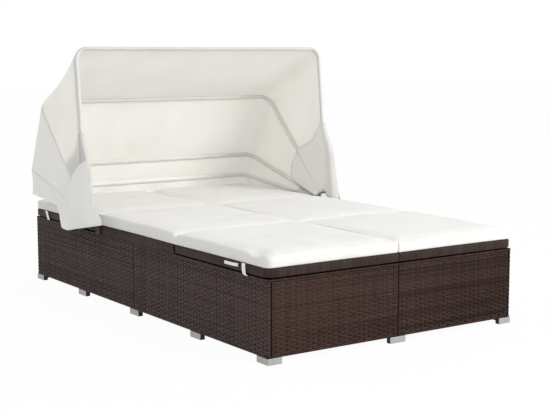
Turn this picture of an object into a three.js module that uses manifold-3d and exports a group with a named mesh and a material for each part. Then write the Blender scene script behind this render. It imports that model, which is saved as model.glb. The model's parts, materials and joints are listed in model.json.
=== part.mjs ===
// A double garden daybed with a folding hood, in millimetres, +Z up.
// Origin: on the floor under the middle of the bed. +Y is the head end, X runs across the bed.
// A woven box stands on small feet. Steel rails inside it carry a fixed middle deck, and two head
// flaps and two foot flaps are hinged to that deck and propped by stays. Cushion pads lie on every
// deck. The hood is a fan of four bows on one pivot line, with cloth panels stretched between them.

import * as THREE from "three";
import { mergeVertices } from "three/addons/utils/BufferGeometryUtils.js";
import Module from "manifold-3d";

const wasm = await Module();
wasm.setup();

// The bed as a whole
const bedLength = 2000;
const bedWidth = 1200;
const footHeight = 25;
const boxTop = 308;
const deckTop = 344;
const headSeamY = 332;
const footSeamY = -348;
const seatGap = 0.3;
const cutOverrun = 2;

// Woven panels
const skin = 4;
const panelDepth = 40;
const cornerBand = 15;
const cornerRound = 12;

// Steel rails inside the box
const railWidth = 30;
const railHeight = 28;
const railWall = 2;

// Legs
const footLength = 76;
const footDepth = 22;
const cornerFootLength = 73;
const cornerFootWidth = 62;
const middleFootSize = 50;
const postSize = 17;
const cornerPostSetback = 25;
const sideLegSpacing = 500;

// Decks
const deckRail = 30;
const deckWeb = 5;
const deckCorner = 35;
const flapLift = 7;
const flapSplit = 3;
const bumperSize = 18;
const bumperInset = 80;

// Hinges between the middle deck and the flaps
const hingeCover = 1;
const rodRadius = 4;
const holeClearance = 0.5;
const lugRadius = 8;
const lugWidth = 18;
const lugInset = 70;
const fixedEndSetback = 5.3;
const flapEndSetback = 6;
const pocketClearance = 1;
const rodInset = 12;

// Prop stays and the toothed ledges that they stand on
const stayRadius = 4;
const stayReach = 230;
const stayLength = 340;
const stayDrop = 35;
const stayFall = 50;
const stayArmX = 150;
const stayLugThickness = 10;
const stayLugGap = 1;
const stayEndGap = 2;
const ledgeWidth = 14;
const ledgePlate = 3;
const ledgeThickness = 6;
const ledgeClearance = 2;
const toothHeight = 5;
const toothCount = 6;
const ledgeStart = 330;
const ledgeEnd = 600;

// Cushions
const cushionThickness = 46;
const cushionCrown = 5;
const cushionSideInset = 4;
const cushionEndInset = 9;
const cushionHalfSplit = 1.5;
const padHingeGap = 25;
const padCornerRadius = 28;
const padTipRadius = 50;
const padDrawnIn = 4;
const padEdgeInset = 15;
const padCrownReach = 110;
const foldHeight = 27;
const foldGap = 1;

// Hood bows
const bowRadius = 6.3;
const bowCorner = 50;
const pivotY = 318;
const pivotZ = 374;
const bushLength = 13.4;
const bushRadius = 10;
const bushGap = 0.6;
const bracketThickness = 6;
const bracketLength = 40;
const bracketHeight = 90;
const nutThickness = 6;
const nutRadius = 9;

// Each bow: its angle back from upright in degrees, how far it reaches beyond the head end, how far
// its top stands out past the side of the bed, and its place on the stud, counted outwards
const rearBow = { angle: 84.5, beyond: 10, spread: 18, place: 0 };
const thirdBow = { angle: 75, beyond: 0, spread: 34, place: 1 };
const secondBow = { angle: 45.5, beyond: 18, spread: 36, place: 2 };
const frontBow = { angle: 6, beyond: 62, spread: 38, place: 3 };

// Hood cloth
const clothThickness = 2;
const clothGap = 1.2;
const clothEdgeGap = 0.6;
const clothStart = 42;
const clothSettle = 260;
const clothBillow = 12;
const frontHem = 12;
const valanceDrop = 46;
const skirtDrop = 96;
const skirtStart = 14;
const skirtEnd = 420;
const skirtFlare = 26;
const foldDepth = 5;

// Counts
const roundSides = 16;
const nutSides = 6;
const bowSides = 8;
const bendSteps = 5;
const padCornerSteps = 4;
const padSideSteps = 5;
const clothLegSteps = 7;
const clothCornerSteps = 5;
const clothTopSteps = 10;
const skirtFolds = 3;

// Values that follow from the sizes above
const halfLength = bedLength / 2;
const halfWidth = bedWidth / 2;
const railTop = boxTop - skin - seatGap;
const railBottom = railTop - railHeight;
const railMiddle = railTop - railHeight / 2;
const sideRailX = halfWidth - skin - seatGap - railWidth / 2;
const sidePostX = halfWidth - skin - seatGap - postSize / 2;
const endPostY = halfLength - skin - seatGap - postSize / 2;
const endRailY = halfLength - skin - seatGap - railWidth / 2;
const flapBottom = boxTop + flapLift;
const hingeZ = deckTop - hingeCover - lugRadius;
const stayPivotZ = hingeZ - stayDrop;
const stayFootZ = stayPivotZ - stayFall;
const stayPinLength = stayLugThickness + 2 * (stayRadius + stayLugGap);
const bracketOuter = halfWidth + seatGap + bracketThickness;

// The bows reach as far as the head end, so a raised head flap swings inside them.
for (const bow of [rearBow, thirdBow, secondBow, frontBow]) {
  bow.reach = halfLength - pivotY + bow.beyond;
  bow.halfWidth = halfWidth + bow.spread;
}

const colours = {
  weave: new THREE.MeshStandardMaterial({ color: 0x3b2a24, roughness: 0.6, metalness: 0 }),
  steel: new THREE.MeshStandardMaterial({ color: 0x2c2624, roughness: 0.5, metalness: 0.6 }),
  foot: new THREE.MeshStandardMaterial({ color: 0xb9bbbd, roughness: 0.45, metalness: 0.4 }),
  zinc: new THREE.MeshStandardMaterial({ color: 0x9a9da0, roughness: 0.35, metalness: 0.9 }),
  bow: new THREE.MeshStandardMaterial({ color: 0xd9d9d6, roughness: 0.4, metalness: 0.5 }),
  cushion: new THREE.MeshStandardMaterial({ color: 0xf1eee6, roughness: 0.9, metalness: 0 }),
  canvas: new THREE.MeshStandardMaterial({ color: 0xefece0, roughness: 0.95, metalness: 0 }),
};

const daybed = new THREE.Group();

// Adds one named piece to the bed.
function addPiece(name, geometry, material) {
  const mesh = new THREE.Mesh(geometry, material);
  mesh.name = name;
  daybed.add(mesh);
  return mesh;
}

// Turns a closed three.js geometry into a solid that can be cut and joined.
function solidOf(geometry) {
  const bare = geometry.clone();
  bare.deleteAttribute("normal");
  bare.deleteAttribute("uv");
  const merged = mergeVertices(bare);
  return new wasm.Manifold(
    new wasm.Mesh({
      numProp: 3,
      vertProperties: new Float32Array(merged.attributes.position.array),
      triVerts: new Uint32Array(merged.index.array),
    }),
  );
}

// Turns a solid back into a geometry.
function geometryOf(solid) {
  const mesh = solid.getMesh();
  const geometry = new THREE.BufferGeometry();
  geometry.setAttribute("position", new THREE.BufferAttribute(new Float32Array(mesh.vertProperties), 3));
  geometry.setIndex(new THREE.BufferAttribute(new Uint32Array(mesh.triVerts), 1));
  geometry.computeVertexNormals();
  return geometry;
}

// Joins the first solids and cuts the second ones out of them.
function shape(joined, cut = []) {
  const whole = joined.map(solidOf).reduce((sum, next) => sum.add(next));
  return geometryOf(cut.map(solidOf).reduce((rest, next) => rest.subtract(next), whole));
}

// A box between two opposite corners, in any order.
function block(x0, x1, y0, y1, z0, z1) {
  const geometry = new THREE.BoxGeometry(Math.abs(x1 - x0), Math.abs(y1 - y0), Math.abs(z1 - z0));
  return geometry.translate((x0 + x1) / 2, (y0 + y1) / 2, (z0 + z1) / 2);
}

// The points of a rounded corner in plan, from the long side's line round to the end's line.
function cornerPoints(x, y, signX, signY, radius, inset = 0) {
  const points = [];
  for (let step = 0; step <= bendSteps; step += 1) {
    const angle = ((step / bendSteps) * Math.PI) / 2;
    const outX = signX * (radius - (radius - inset) * Math.cos(angle));
    const outY = signY * (radius - (radius - inset) * Math.sin(angle));
    points.push(new THREE.Vector2(x - outX, y - outY));
  }
  return points;
}

// An upright body over an outline in plan, between two heights.
function upright(points, z0, z1) {
  const geometry = new THREE.ExtrudeGeometry(new THREE.Shape(points), {
    depth: z1 - z0,
    bevelEnabled: false,
  });
  return geometry.translate(0, 0, z0);
}

// A round bar along X between two stations.
function barX(radius, x0, x1, y, z, sides = roundSides) {
  const geometry = new THREE.CylinderGeometry(radius, radius, Math.abs(x1 - x0), sides);
  return geometry.rotateZ(Math.PI / 2).translate((x0 + x1) / 2, y, z);
}

// A round bar between two points.
function barBetween(radius, start, end, sides = roundSides) {
  const along = new THREE.Vector3().subVectors(end, start);
  const geometry = new THREE.CylinderGeometry(radius, radius, along.length(), sides);
  const axis = new THREE.Vector3(0, 1, 0);
  const turn = new THREE.Quaternion().setFromUnitVectors(axis, along.clone().normalize());
  const middle = new THREE.Vector3().addVectors(start, end).divideScalar(2);
  return geometry.applyQuaternion(turn).translate(middle.x, middle.y, middle.z);
}

// Stands an extruded outline up: its axes become Y and Z, and the extrusion runs along X.
const standUp = new THREE.Matrix4().set(0, 0, 1, 0, 1, 0, 0, 0, 0, 1, 0, 0, 0, 0, 0, 1);

// A hollow square tube along Z, open at both ends.
function squareTube(width, height, length) {
  const outline = new THREE.Shape();
  outline.moveTo(-width / 2, -height / 2);
  outline.lineTo(width / 2, -height / 2);
  outline.lineTo(width / 2, height / 2);
  outline.lineTo(-width / 2, height / 2);
  const hole = new THREE.Path();
  hole.moveTo(-width / 2 + railWall, -height / 2 + railWall);
  hole.lineTo(-width / 2 + railWall, height / 2 - railWall);
  hole.lineTo(width / 2 - railWall, height / 2 - railWall);
  hole.lineTo(width / 2 - railWall, -height / 2 + railWall);
  outline.holes.push(hole);
  const geometry = new THREE.ExtrudeGeometry(outline, { depth: length, bevelEnabled: false });
  return geometry.translate(0, 0, -length / 2);
}

// A woven panel of the long side: a skin that turns the rounded corner of the box, and a top edge.
function sidePanel(side, end) {
  const outer = side * halfWidth;
  const inner = side * (halfWidth - panelDepth);
  const corner = end * halfLength;
  const middle = (end * seatGap) / 2;
  const bandX = outer - side * cornerBand;
  const wrap = [
    new THREE.Vector2(outer, middle),
    ...cornerPoints(outer, corner, side, end, cornerRound),
    new THREE.Vector2(bandX, corner),
    new THREE.Vector2(bandX, corner - end * skin),
    ...cornerPoints(outer, corner, side, end, cornerRound, skin).reverse(),
    new THREE.Vector2(outer - side * skin, middle),
  ];
  const lipTurn = corner - end * cornerRound;
  const lipEnd = corner - end * (skin + seatGap);
  return shape([
    upright(wrap, footHeight, boxTop),
    block(outer, inner, middle, lipTurn, boxTop - skin, boxTop),
    block(outer - side * cornerRound, inner, lipTurn - end * skin, lipEnd, boxTop - skin, boxTop),
  ]);
}

// A woven panel of half an end, set between the long side and the middle of the bed.
function endPanel(side, end) {
  const middle = (side * seatGap) / 2;
  const skinEnd = side * (halfWidth - cornerBand - seatGap);
  const lipEnd = side * (halfWidth - panelDepth - seatGap);
  const outer = end * halfLength;
  return shape([
    block(middle, skinEnd, outer, outer - end * skin, footHeight, boxTop),
    block(middle, lipEnd, outer, outer - end * panelDepth, boxTop - skin, boxTop),
  ]);
}

// Where a tooth has its tip and its foot, as shares of the pitch, counted back from its far side.
const toothTipShare = 0.25;
const toothFootShare = 0.5;

// A toothed ledge for the foot of a stay: an upright plate on a rail's face, and a shelf on the plate.
function toothedLedge(railFaceX, facing, seamY, end) {
  const shelfTop = stayFootZ - stayRadius - ledgeClearance - toothHeight;
  const low = shelfTop - ledgeThickness;
  const outline = new THREE.Shape();
  outline.moveTo(ledgeStart, low);
  outline.lineTo(ledgeEnd, low);
  outline.lineTo(ledgeEnd, shelfTop);
  const pitch = (ledgeEnd - ledgeStart) / toothCount;
  for (let tooth = toothCount; tooth > 0; tooth -= 1) {
    outline.lineTo(ledgeStart + (tooth - toothTipShare) * pitch, shelfTop + toothHeight);
    outline.lineTo(ledgeStart + (tooth - toothFootShare) * pitch, shelfTop);
  }
  outline.lineTo(ledgeStart, shelfTop);
  const width = ledgeWidth + ledgePlate;
  const shelf = new THREE.ExtrudeGeometry(outline, { depth: width, bevelEnabled: false });
  shelf.applyMatrix4(standUp);
  if (end < 0) {
    shelf.scale(1, -1, 1);
    flipFaces(shelf);
  }
  const root = railFaceX - (facing * railWall) / 2;
  shelf.translate(facing > 0 ? root : root - width, seamY, 0);
  const plate = block(
    root,
    railFaceX + facing * ledgePlate,
    seamY + end * ledgeStart,
    seamY + end * ledgeEnd,
    low,
    railMiddle,
  );
  return [shelf, plate];
}

// Turns the faces of a mirrored geometry the right way out again.
function flipFaces(geometry) {
  const position = geometry.attributes.position;
  for (let corner = 0; corner < position.count; corner += 3) {
    const first = new THREE.Vector3().fromBufferAttribute(position, corner);
    const second = new THREE.Vector3().fromBufferAttribute(position, corner + 1);
    position.setXYZ(corner, second.x, second.y, second.z);
    position.setXYZ(corner + 1, first.x, first.y, first.z);
  }
}

// A long rail under the edge of the box, with the ledges for the stays of its own side.
function sideRail(side) {
  const tube = squareTube(railWidth, railHeight, 2 * (halfLength - cornerRound));
  tube.rotateX(Math.PI / 2).translate(side * sideRailX, 0, railMiddle);
  const face = side * (sideRailX - railWidth / 2);
  const ledges = [
    ...toothedLedge(face, -side, headSeamY, 1),
    ...toothedLedge(face, -side, footSeamY, -1),
  ];
  return shape([tube, ...ledges]);
}

// The beam along the middle of the bed, with ledges on both faces.
function centreBeam() {
  const tube = squareTube(railWidth, railHeight, 2 * (endRailY - railWidth / 2 - seatGap));
  tube.rotateX(Math.PI / 2).translate(0, 0, railMiddle);
  const ledges = [];
  for (const side of [-1, 1]) {
    const face = (side * railWidth) / 2;
    ledges.push(...toothedLedge(face, side, headSeamY, 1));
    ledges.push(...toothedLedge(face, side, footSeamY, -1));
  }
  return shape([tube, ...ledges]);
}

// A rail across the end of the bed, between the two long rails.
function endRail(end) {
  const tube = squareTube(railWidth, railHeight, 2 * (sideRailX - railWidth / 2 - seatGap));
  tube.rotateX(Math.PI / 2).rotateZ(Math.PI / 2);
  return tube.translate(0, end * endRailY, railMiddle);
}

// A leg: the pale foot under the box, and the post on it that carries a rail. Each plate of the foot
// runs from one corner in plan to another.
function leg(plates, postX, postY) {
  const half = postSize / 2;
  const pieces = plates.map(([x0, x1, y0, y1]) => block(x0, x1, y0, y1, 0, footHeight - seatGap));
  const top = railBottom - seatGap;
  pieces.push(block(postX - half, postX + half, postY - half, postY + half, footHeight / 2, top));
  return shape(pieces);
}

// The angled foot at a corner of the box: one plate along the side and one along the end.
function cornerLeg(side, end) {
  const x = side * halfWidth;
  const y = end * halfLength;
  const plates = [
    [x, x - side * footDepth, y, y - end * cornerFootLength],
    [x, x - side * cornerFootWidth, y, y - end * footDepth],
  ];
  return leg(plates, side * sidePostX, y - end * cornerPostSetback);
}

// A flat foot under the long side of the box.
function sideLeg(side, y) {
  const x = side * halfWidth;
  const plates = [[x, x - side * footDepth, y - footLength / 2, y + footLength / 2]];
  return leg(plates, side * sidePostX, y);
}

// A flat foot under the middle of an end of the box.
function endLeg(end) {
  const y = end * halfLength;
  const plates = [[-footLength / 2, footLength / 2, y, y - end * footDepth]];
  return leg(plates, 0, end * endPostY);
}

// The square foot under the middle of the bed.
function middleLeg() {
  const half = middleFootSize / 2;
  return leg([[-half, half, -half, half]], 0, 0);
}

// A deck seen from below as a tray: rails all round, cross rails, and a thin woven top. The corner
// at its second x and second y is rounded where a radius is given.
function deckTray(x0, x1, y0, y1, bottom, crossRails, corner = 0) {
  const low = Math.min(y0, y1);
  const stations = [low + deckRail / 2, ...crossRails, Math.max(y0, y1) - deckRail / 2];
  stations.sort((first, second) => first - second);
  const pockets = [];
  for (let bay = 0; bay + 1 < stations.length; bay += 1) {
    pockets.push(
      block(
        Math.min(x0, x1) + deckRail,
        Math.max(x0, x1) - deckRail,
        stations[bay] + deckRail / 2,
        stations[bay + 1] - deckRail / 2,
        bottom - cutOverrun,
        deckTop - deckWeb,
      ),
    );
  }
  const outline = [new THREE.Vector2(x0, y0), new THREE.Vector2(x1, y0)];
  if (corner > 0) {
    outline.push(...cornerPoints(x1, y1, Math.sign(x1 - x0), Math.sign(y1 - y0), corner));
  } else {
    outline.push(new THREE.Vector2(x1, y1));
  }
  outline.push(new THREE.Vector2(x0, y1));
  return { joined: [upright(outline, bottom, deckTop)], cut: pockets };
}

// The stations along X of the hinge lugs on one side: the flap's, then the fixed deck's beside them.
function lugStations(side) {
  const near = lugInset;
  const far = halfWidth - lugInset;
  const step = lugWidth + 2 * pocketClearance;
  return {
    flap: [side * near, side * far],
    fixed: [side * (near + step), side * (far - step)],
  };
}

// A hinge lug round the rod, reaching back to its deck's end face.
function hingeLug(x, seamY, towards, reach) {
  const x0 = x - lugWidth / 2;
  const x1 = x + lugWidth / 2;
  return [
    barX(lugRadius, x0, x1, seamY, hingeZ),
    block(x0, x1, seamY, seamY + towards * (reach + deckRail / 2), hingeZ - lugRadius, hingeZ + lugRadius),
  ];
}

// The room that a neighbour's lug needs in a deck's end rail.
function lugPocket(x, seamY) {
  const half = lugWidth / 2 + pocketClearance;
  return barX(lugRadius + pocketClearance, x - half, x + half, seamY, hingeZ);
}

// The hole for the hinge rod through a side's lugs.
function rodHole(side, seamY) {
  return barX(rodRadius + holeClearance, cutOverrun, side * halfWidth, seamY, hingeZ);
}

// The fixed middle deck of one side, with hinge lugs at both ends.
function middleDeck(side) {
  const y0 = footSeamY + fixedEndSetback;
  const y1 = headSeamY - fixedEndSetback;
  const middle = (side * seatGap) / 2;
  const tray = deckTray(middle, side * halfWidth, y0, y1, boxTop + seatGap, [(y0 + y1) / 2]);
  const stations = lugStations(side);
  for (const [seamY, inward] of [[headSeamY, -1], [footSeamY, 1]]) {
    for (const x of stations.fixed) {
      tray.joined.push(...hingeLug(x, seamY, inward, fixedEndSetback));
    }
    for (const x of stations.flap) {
      tray.cut.push(lugPocket(x, seamY));
    }
    tray.cut.push(rodHole(side, seamY));
  }
  return shape(tray.joined, tray.cut);
}

// A hinged flap: its deck, hinge lugs, the lugs of its stay and the bumpers it rests on.
function flapDeck(side, seamY, end) {
  const near = side * (flapSplit / 2);
  const far = side * halfWidth;
  const start = seamY + end * flapEndSetback;
  const tip = end * halfLength;
  const stayY = seamY + end * stayReach;
  const tray = deckTray(near, far, start, tip, flapBottom, [stayY], deckCorner);
  const stations = lugStations(side);
  for (const x of stations.flap) {
    tray.joined.push(...hingeLug(x, seamY, end, flapEndSetback));
  }
  for (const x of stations.fixed) {
    tray.cut.push(lugPocket(x, seamY));
  }
  tray.cut.push(rodHole(side, seamY));
  const middle = (near + far) / 2;
  const pinHole = stayRadius + holeClearance;
  for (const arm of [-1, 1]) {
    const x = middle + arm * (stayArmX + stayPinLength / 2);
    const x0 = x - stayLugThickness / 2;
    const x1 = x + stayLugThickness / 2;
    const low = stayPivotZ - lugRadius;
    tray.joined.push(block(x0, x1, stayY - lugRadius, stayY + lugRadius, low, flapBottom + deckRail / 2));
    tray.cut.push(barX(pinHole, x0 - cutOverrun, x1 + cutOverrun, stayY, stayPivotZ));
  }
  const bumperInner = tip - end * (panelDepth - skin);
  const bumperOuter = bumperInner + end * bumperSize;
  for (const x of [near + side * bumperInset, far - side * bumperInset]) {
    const x0 = x - bumperSize / 2;
    const x1 = x + bumperSize / 2;
    tray.joined.push(block(x0, x1, bumperInner, bumperOuter, boxTop + seatGap, flapBottom + deckWeb));
  }
  return shape(tray.joined, tray.cut);
}

// A prop stay: a wire frame whose top pins turn in the flap and whose foot bar stands on the ledges.
function stay(side, seamY, end) {
  const near = side * (flapSplit / 2);
  const far = side * halfWidth;
  const middle = (near + far) / 2;
  const topY = seamY + end * stayReach;
  const footY = topY + end * Math.sqrt(stayLength ** 2 - stayFall ** 2);
  const footNear = side * (railWidth / 2 + ledgePlate + stayEndGap);
  const footFar = side * (sideRailX - railWidth / 2 - ledgePlate - stayEndGap);
  const pieces = [barX(stayRadius, footNear, footFar, footY, stayFootZ)];
  for (const arm of [-1, 1]) {
    const x = middle + arm * stayArmX;
    const top = new THREE.Vector3(x, topY, stayPivotZ);
    const bottom = new THREE.Vector3(x, footY, stayFootZ);
    pieces.push(barBetween(stayRadius, top, bottom));
    pieces.push(barX(stayRadius, x - arm * stayRadius, x + arm * stayPinLength, topY, stayPivotZ));
  }
  return shape(pieces);
}

// The four corners of a pad's ring, set inside the full size, each with its own radius.
function padCorners(pad, inset) {
  return [[1, 1], [-1, 1], [-1, -1], [1, -1]].map(([signX, signY]) => {
    const atTip = signX === pad.tipX && signY === pad.tipY;
    const full = atTip ? pad.tipRadius : padCornerRadius;
    const radius = Math.max(full - inset, full * padTightestShare);
    const centre = new THREE.Vector2(
      signX * (pad.halfX - inset - radius),
      signY * (pad.halfY - inset - radius),
    );
    return { centre, radius };
  });
}

// One closed ring of a pad's outline, drawn in along its sides and set inside the full size.
function padRing(pad, inset) {
  const corners = padCorners(pad, inset);
  const points = [];
  corners.forEach(({ centre, radius }, quarter) => {
    for (let step = 0; step <= padCornerSteps; step += 1) {
      const angle = ((quarter + step / padCornerSteps) * Math.PI) / 2;
      const out = new THREE.Vector2(Math.cos(angle), Math.sin(angle));
      points.push(centre.clone().addScaledVector(out, radius));
    }
    const last = points[points.length - 1];
    const next = corners[(quarter + 1) % corners.length];
    const angle = ((quarter + 1) * Math.PI) / 2;
    const goal = next.centre.clone();
    goal.add(new THREE.Vector2(Math.cos(angle), Math.sin(angle)).multiplyScalar(next.radius));
    const inward = new THREE.Vector2(-Math.cos(angle), -Math.sin(angle));
    for (let step = 1; step < padSideSteps; step += 1) {
      const share = step / padSideSteps;
      const point = last.clone().lerp(goal, share);
      points.push(point.addScaledVector(inward, padDrawnIn * Math.sin(Math.PI * share)));
    }
  });
  return points;
}

// A closed body from rings, each a list of points with the same count, capped by a point at both ends.
function loft(rings, bottom, top) {
  const count = rings[0].length;
  const points = [bottom, ...rings.flat(), top];
  const faces = [];
  for (let place = 0; place < count; place += 1) {
    const next = (place + 1) % count;
    faces.push(0, 1 + next, 1 + place);
    for (let level = 0; level + 1 < rings.length; level += 1) {
      const low = 1 + level * count;
      const high = low + count;
      faces.push(low + place, low + next, high + next, low + place, high + next, high + place);
    }
    const last = 1 + (rings.length - 1) * count;
    faces.push(last + place, last + next, points.length - 1);
  }
  const geometry = new THREE.BufferGeometry().setFromPoints(points);
  geometry.setIndex(faces);
  geometry.computeVertexNormals();
  return geometry;
}

// The rings of a pad's side from bottom to top: inset as a share of the edge inset, height as a share
// of the thickness. The sides are fullest a little above half height.
const padSideShares = [[1, 0], [0.35, 0.1], [0, 0.36], [0, 0.62], [0.3, 0.84], [1, 0.96]];

// The rings of a pad's top: inset as a share of the crown's reach, height as a share of the crown.
const padTopShares = [[0.33, 0.33], [1, 0.67]];

// A pad's tightest corner, as a share of its full corner radius.
const padTightestShare = 0.33;

// A cushion pad: flat below, round at the edges, drawn in along its sides and crowned on top. The
// corner at its second x and second y has a radius of its own.
function cushionPad(x0, x1, y0, y1, tipRadius = padCornerRadius) {
  const pad = {
    halfX: Math.abs(x1 - x0) / 2,
    halfY: Math.abs(y1 - y0) / 2,
    tipX: Math.sign(x1 - x0),
    tipY: Math.sign(y1 - y0),
    tipRadius,
  };
  const lift = (ring, z) => ring.map((point) => new THREE.Vector3(point.x, point.y, z));
  const rings = padSideShares.map(([insetShare, heightShare]) =>
    lift(padRing(pad, insetShare * padEdgeInset), heightShare * cushionThickness),
  );
  for (const [insetShare, heightShare] of padTopShares) {
    const ring = padRing(pad, insetShare * padCrownReach);
    rings.push(lift(ring, cushionThickness + heightShare * cushionCrown));
  }
  const bottom = new THREE.Vector3(0, 0, 0);
  const top = new THREE.Vector3(0, 0, cushionThickness + cushionCrown);
  return loft(rings, bottom, top).translate((x0 + x1) / 2, (y0 + y1) / 2, deckTop + seatGap);
}

// The soft strip of cover where a cushion folds over a hinge.
function cushionFold(x0, x1, seamY) {
  const half = padHingeGap - foldGap;
  const outline = new THREE.Shape();
  outline.moveTo(-half, 0);
  outline.lineTo(half, 0);
  outline.absellipse(0, 0, half, foldHeight, 0, Math.PI, false);
  const width = Math.abs(x1 - x0);
  const geometry = new THREE.ExtrudeGeometry(outline, {
    depth: width,
    bevelEnabled: false,
    curveSegments: roundSides / 2,
  });
  return geometry.applyMatrix4(standUp).translate(Math.min(x0, x1), seamY, deckTop + seatGap);
}

// The centre along X of a bow's end on the pivot line, counted outwards from the bed.
function bowFootX(bow) {
  return bracketOuter + seatGap + bushLength / 2 + bow.place * (bushLength + bushGap);
}

// A point at a reach from the pivot line, leaning back from upright by an angle in degrees.
function bowPoint(x, reach, angle) {
  const lean = THREE.MathUtils.degToRad(angle);
  return new THREE.Vector3(x, pivotY + reach * Math.sin(lean), pivotZ + reach * Math.cos(lean));
}

// A polyline with its corners rounded, whose stations sit only at the ends and in the bends.
class BentLine extends THREE.Curve {
  constructor(corners, radius) {
    super();
    this.stations = [];
    corners.forEach((corner, place) => {
      if (place === 0 || place === corners.length - 1) {
        const from = place === 0 ? corner : corners[place - 1];
        const to = place === 0 ? corners[1] : corner;
        this.stations.push({ point: corner, tangent: new THREE.Vector3().subVectors(to, from).normalize() });
        return;
      }
      const before = new THREE.Vector3().subVectors(corner, corners[place - 1]).normalize();
      const after = new THREE.Vector3().subVectors(corners[place + 1], corner).normalize();
      const turn = before.angleTo(after);
      const setback = radius * Math.tan(turn / 2);
      const start = corner.clone().addScaledVector(before, -setback);
      const inward = after.clone().addScaledVector(before, -after.dot(before)).normalize();
      for (let step = 0; step <= bendSteps; step += 1) {
        const angle = (turn * step) / bendSteps;
        const point = start.clone();
        point.addScaledVector(before, radius * Math.sin(angle));
        point.addScaledVector(inward, radius * (1 - Math.cos(angle)));
        const tangent = before.clone().multiplyScalar(Math.cos(angle));
        this.stations.push({ point, tangent: tangent.addScaledVector(inward, Math.sin(angle)) });
      }
    });
  }

  stationAt(share) {
    return this.stations[Math.round(share * (this.stations.length - 1))];
  }

  getPoint(share) {
    return this.stationAt(share).point.clone();
  }

  getPointAt(share) {
    return this.getPoint(share);
  }

  getTangentAt(share) {
    return this.stationAt(share).tangent.clone();
  }
}

// A bent round bar through a list of corners.
function bentBar(corners, radius, bend, sides) {
  const circle = new THREE.Shape().absarc(0, 0, radius, 0, 2 * Math.PI, false);
  const path = new BentLine(corners, bend);
  return new THREE.ExtrudeGeometry(circle, {
    steps: path.stations.length - 1,
    curveSegments: sides,
    bevelEnabled: false,
    extrudePath: path,
  });
}

// A hood bow: a bent tube with a cross bush at both ends that turns on the bracket's stud.
function hoodBow(bow) {
  const footX = bowFootX(bow);
  const start = bushRadius - bowRadius / 2;
  const startX = THREE.MathUtils.lerp(footX, bow.halfWidth, start / bow.reach);
  const corners = [
    bowPoint(-startX, start, bow.angle),
    bowPoint(-bow.halfWidth, bow.reach, bow.angle),
    bowPoint(bow.halfWidth, bow.reach, bow.angle),
    bowPoint(startX, start, bow.angle),
  ];
  const pieces = [bentBar(corners, bowRadius, bowCorner, bowSides)];
  const holes = [];
  for (const side of [-1, 1]) {
    const x0 = side * (footX - bushLength / 2);
    const x1 = side * (footX + bushLength / 2);
    pieces.push(barX(bushRadius, x0, x1, pivotY, pivotZ));
    holes.push(
      barX(rodRadius + holeClearance, x0 - side * cutOverrun, x1 + side * cutOverrun, pivotY, pivotZ),
    );
  }
  return shape(pieces, holes);
}

// The bracket on the bed's side that carries the hood: a plate, a stud and the nut on its end.
function pivotBracket(side) {
  const inner = side * (halfWidth + seatGap);
  const outer = side * bracketOuter;
  const top = pivotZ + bushRadius + nutRadius;
  const nutStart = side * (bowFootX(frontBow) + bushLength / 2 + bushGap);
  const nutEnd = nutStart + side * nutThickness;
  return shape([
    block(inner, outer, pivotY - bracketLength / 2, pivotY + bracketLength / 2, top - bracketHeight, top),
    barX(rodRadius, inner + (side * bracketThickness) / 2, nutEnd, pivotY, pivotZ),
    barX(nutRadius, nutStart, nutEnd, pivotY, pivotZ, nutSides),
  ]);
}

// The bow that the cloth would have a share of the way from one bow to the next. Its reach follows
// the straight line between the two top bars, with a slight billow outwards.
function bowBetween(first, second, share) {
  const degrees = THREE.MathUtils.degToRad;
  const angle = THREE.MathUtils.lerp(first.angle, second.angle, share);
  const whole = Math.sin(degrees(second.angle - first.angle));
  const part =
    first.reach * Math.sin(degrees(angle - first.angle)) +
    second.reach * Math.sin(degrees(second.angle - angle));
  const reach = (first.reach * second.reach * whole) / part;
  return {
    angle,
    reach: reach + clothBillow * Math.sin(Math.PI * share),
    halfWidth: THREE.MathUtils.lerp(first.halfWidth, second.halfWidth, share),
    footX: THREE.MathUtils.lerp(bowFootX(first), bowFootX(second), share),
  };
}

// The stations round a bow, from the left pivot over the top to the right one: part, then share.
function clothStations() {
  const stations = [];
  const run = (part, side, from, to, steps) => {
    const turn = Math.sign(to - from);
    for (let step = from; step !== to + turn; step += turn) {
      stations.push([part, side, step / steps]);
    }
  };
  run("leg", -1, 0, clothLegSteps, clothLegSteps);
  run("corner", -1, 1, clothCornerSteps, clothCornerSteps);
  run("top", 1, 1, clothTopSteps - 1, clothTopSteps);
  run("corner", 1, clothCornerSteps, 1, clothCornerSteps);
  run("leg", 1, clothLegSteps, 0, clothLegSteps);
  return stations;
}

// Where a station lies in the plane of a bow: its x and its reach, an offset outside the bar's middle.
function clothPlace(bow, [part, side, share], offset) {
  const top = bow.reach + offset;
  const outerX = bow.halfWidth + offset;
  const bend = bowCorner + offset;
  const legEnd = top - bend;
  if (part === "top") {
    const x = THREE.MathUtils.lerp(-(outerX - bend), outerX - bend, share);
    return { x, reach: top };
  }
  if (part === "corner") {
    const angle = (share * Math.PI) / 2;
    const x = outerX - bend + bend * Math.cos(angle);
    return { x: side * x, reach: legEnd + bend * Math.sin(angle) };
  }
  const reach = THREE.MathUtils.lerp(clothStart, legEnd, share);
  const nutFace = bowFootX(frontBow) + bushLength / 2 + bushGap + nutThickness;
  const settled = THREE.MathUtils.smoothstep(reach, 0, clothSettle);
  const atFoot = nutFace + clothThickness + clothGap + (offset - bowRadius);
  const footX = THREE.MathUtils.lerp(atFoot, bow.footX + offset, settled);
  return { x: side * THREE.MathUtils.lerp(footX, outerX, reach / bow.reach), reach };
}

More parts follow.
